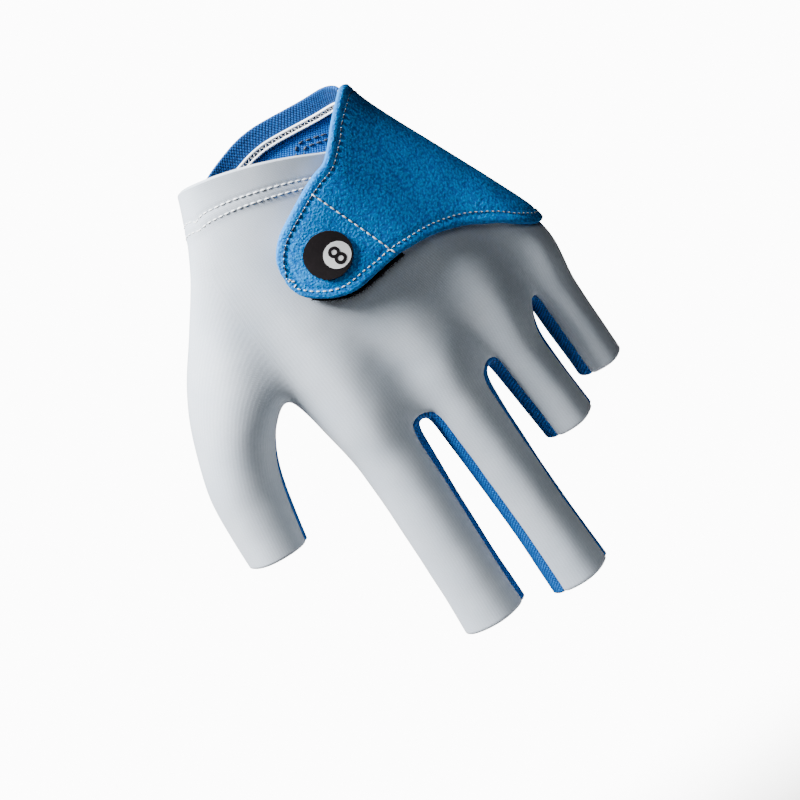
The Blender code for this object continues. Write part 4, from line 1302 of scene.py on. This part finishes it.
def hair_tree():
    """Short hairs standing off a path in all directions, each a thin cone."""
    made, given, path = path_group("pile_hairs", ("Spacing", "Hair length", "Hair width"), ("Hair",))
    points = add_node(made, "GeometryNodeCurveToPoints", {
        "Curve": path, "Length": given["Spacing"]}, mode="LENGTH")
    cone = add_node(made, "GeometryNodeMeshCone", {
        "Vertices": 4, "Radius Top": 0.0, "Radius Bottom": 0.5, "Depth": 1.0}, fill_type="TRIANGLE_FAN")
    turn = add_node(made, "FunctionNodeRandomValue", {
        0: (0, 0, 0), 1: (math.tau, math.tau, math.tau), "Seed": 8}, data_type="FLOAT_VECTOR").outputs[0]
    scale = add_node(made, "ShaderNodeCombineXYZ", {
        "X": given["Hair width"], "Y": given["Hair width"], "Z": given["Hair length"]}).outputs[0]
    placed = add_node(made, "GeometryNodeInstanceOnPoints", {
        "Points": points.outputs["Points"], "Instance": cone.outputs["Mesh"],
        "Rotation": turn, "Scale": scale})
    solid = add_node(made, "GeometryNodeRealizeInstances", {0: placed.outputs[0]}).outputs[0]
    done = add_node(made, "GeometryNodeSetMaterial", {
        "Geometry": solid, "Material": given["Hair"]}).outputs[0]
    add_node(made, "NodeGroupOutput", {0: done})
    return made


lower_rim = [point for point, _ in loop_rim[PAD_STEPS * PAD_ROWS + 1:]]
made_along("pile_hairs", [lower_rim], hair_tree(), {
    "Spacing": 0.00009, "Hair length": 0.0011, "Hair width": 0.00010, "Hair": pile})
hook_piece, _ = laid_sheet(
    "hook_pad", pad_lines(*HOOK_SPAN, HOOK_MARGIN, HOOK_MARGIN), PAD_STEPS, HOOK_STRIPS,
    lambda lift: HOOK_LOW, PAD_THICKNESS, pad_relief, pile)
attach(hook_piece, "root")
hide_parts("hook_pad")


# Badge: a thin black transfer pressed on the tab, 14.6 mm across, with a white spot and a black figure 8
# of two rings, as on a billiard ball.
BADGE_TURN = -37.8
BADGE_DROP = 0.373
BADGE_DIAMETER = 0.0146
BADGE_THICKNESS = 0.0005
BADGE_CLEARANCE = 0.0003
SPOT_RADIUS = 0.0041
SPOT_PLACE = (-0.00222, -0.00150)
EIGHT_LOOPS = ((0.0003, 0.00128, 0.00128), (-0.0003, -0.00132, 0.00134))
EIGHT_STROKE = (0.62, 1.36)
PRINT_STEP = 0.00007
BADGE_LEAN_SHARE = 0.5
DISC_SPOKES = 48
DISC_RINGS = 6
SCUFF = 0.002

# The pressed film is satin, with faint scuffs
badge_black, *_ = mottled("black_transfer_film", 0.42, SCUFF, 3, "#151214", "#252022", specular=0.45)
badge_white, *_ = mottled("white_transfer_film", 0.45, SCUFF, 3, "#f6f9fa", "#ffffff", specular=0.45)

badge_centre, _ = on_guide(BADGE_TURN, BADGE_DROP)
angle = math.radians(BADGE_TURN)
badge_out = Vector((math.sin(angle) * BADGE_LEAN_SHARE, -math.cos(angle), 0)).normalized()
badge_side = badge_out.cross(Vector((0, 0, 1))).normalized()
badge_up = badge_side.cross(badge_out).normalized()


def on_badge(x, y, height):
    """The point at that place on the badge, pressed on the strap and held off it by height."""
    start = badge_centre + badge_side * x + badge_up * y + badge_out * BADGE_DIAMETER
    return strap_tree.ray_cast(start, -badge_out)[0] + badge_out * height


def add_disc(bm, centre, radii, low, high, index):
    """A printed ring or disc with its thickness, between two radii round a centre on the badge."""
    turns = [math.tau * k / DISC_SPOKES for k in range(DISC_SPOKES)]
    levels = []
    for height in (high, low):
        rows = []
        for ring in range(DISC_RINGS + 1):
            radius = mix(*radii, ring / DISC_RINGS)
            rows.append([
                bm.verts.new(on_badge(
                    centre[0] + radius * math.cos(turn), centre[1] + radius * math.sin(turn), height))
                for turn in turns])
        levels.append(rows)
    top, bottom = levels
    faces = []
    for k in range(DISC_SPOKES):
        n = (k + 1) % DISC_SPOKES
        for ring in range(DISC_RINGS):
            faces.append((top[ring][k], top[ring + 1][k], top[ring + 1][n], top[ring][n]))
            faces.append((bottom[ring][n], bottom[ring + 1][n], bottom[ring + 1][k], bottom[ring][k]))
        faces.append((top[-1][k], bottom[-1][k], bottom[-1][n], top[-1][n]))
        faces.append((top[0][n], bottom[0][n], bottom[0][k], top[0][k]))
    for corners in faces:
        bm.faces.new(corners).material_index = index
    bmesh.ops.remove_doubles(bm, verts=[v for rows in levels for row in rows for v in row], dist=1e-7)


bm = bmesh.new()
badge_top = BADGE_CLEARANCE + BADGE_THICKNESS
add_disc(bm, (0, 0), (0, BADGE_DIAMETER / 2), BADGE_CLEARANCE, badge_top, 0)
add_disc(bm, SPOT_PLACE, (0, SPOT_RADIUS), badge_top, badge_top + PRINT_STEP, 1)
for x, y, radius in EIGHT_LOOPS:
    add_disc(bm, (SPOT_PLACE[0] + x, SPOT_PLACE[1] + y), [radius * share for share in EIGHT_STROKE],
             badge_top + PRINT_STEP, badge_top + 2 * PRINT_STEP, 0)
badge_piece = finish_piece("ball_badge", bm, badge_black, badge_white)
badge_piece.data.set_sharp_from_angle(angle=math.radians(40))
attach(badge_piece, "root")
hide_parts("ball_badge")


# The end: the form meshes that only helped to make the pieces are removed.
bpy.data.meshes.remove(form)
bpy.data.meshes.remove(guide_form)
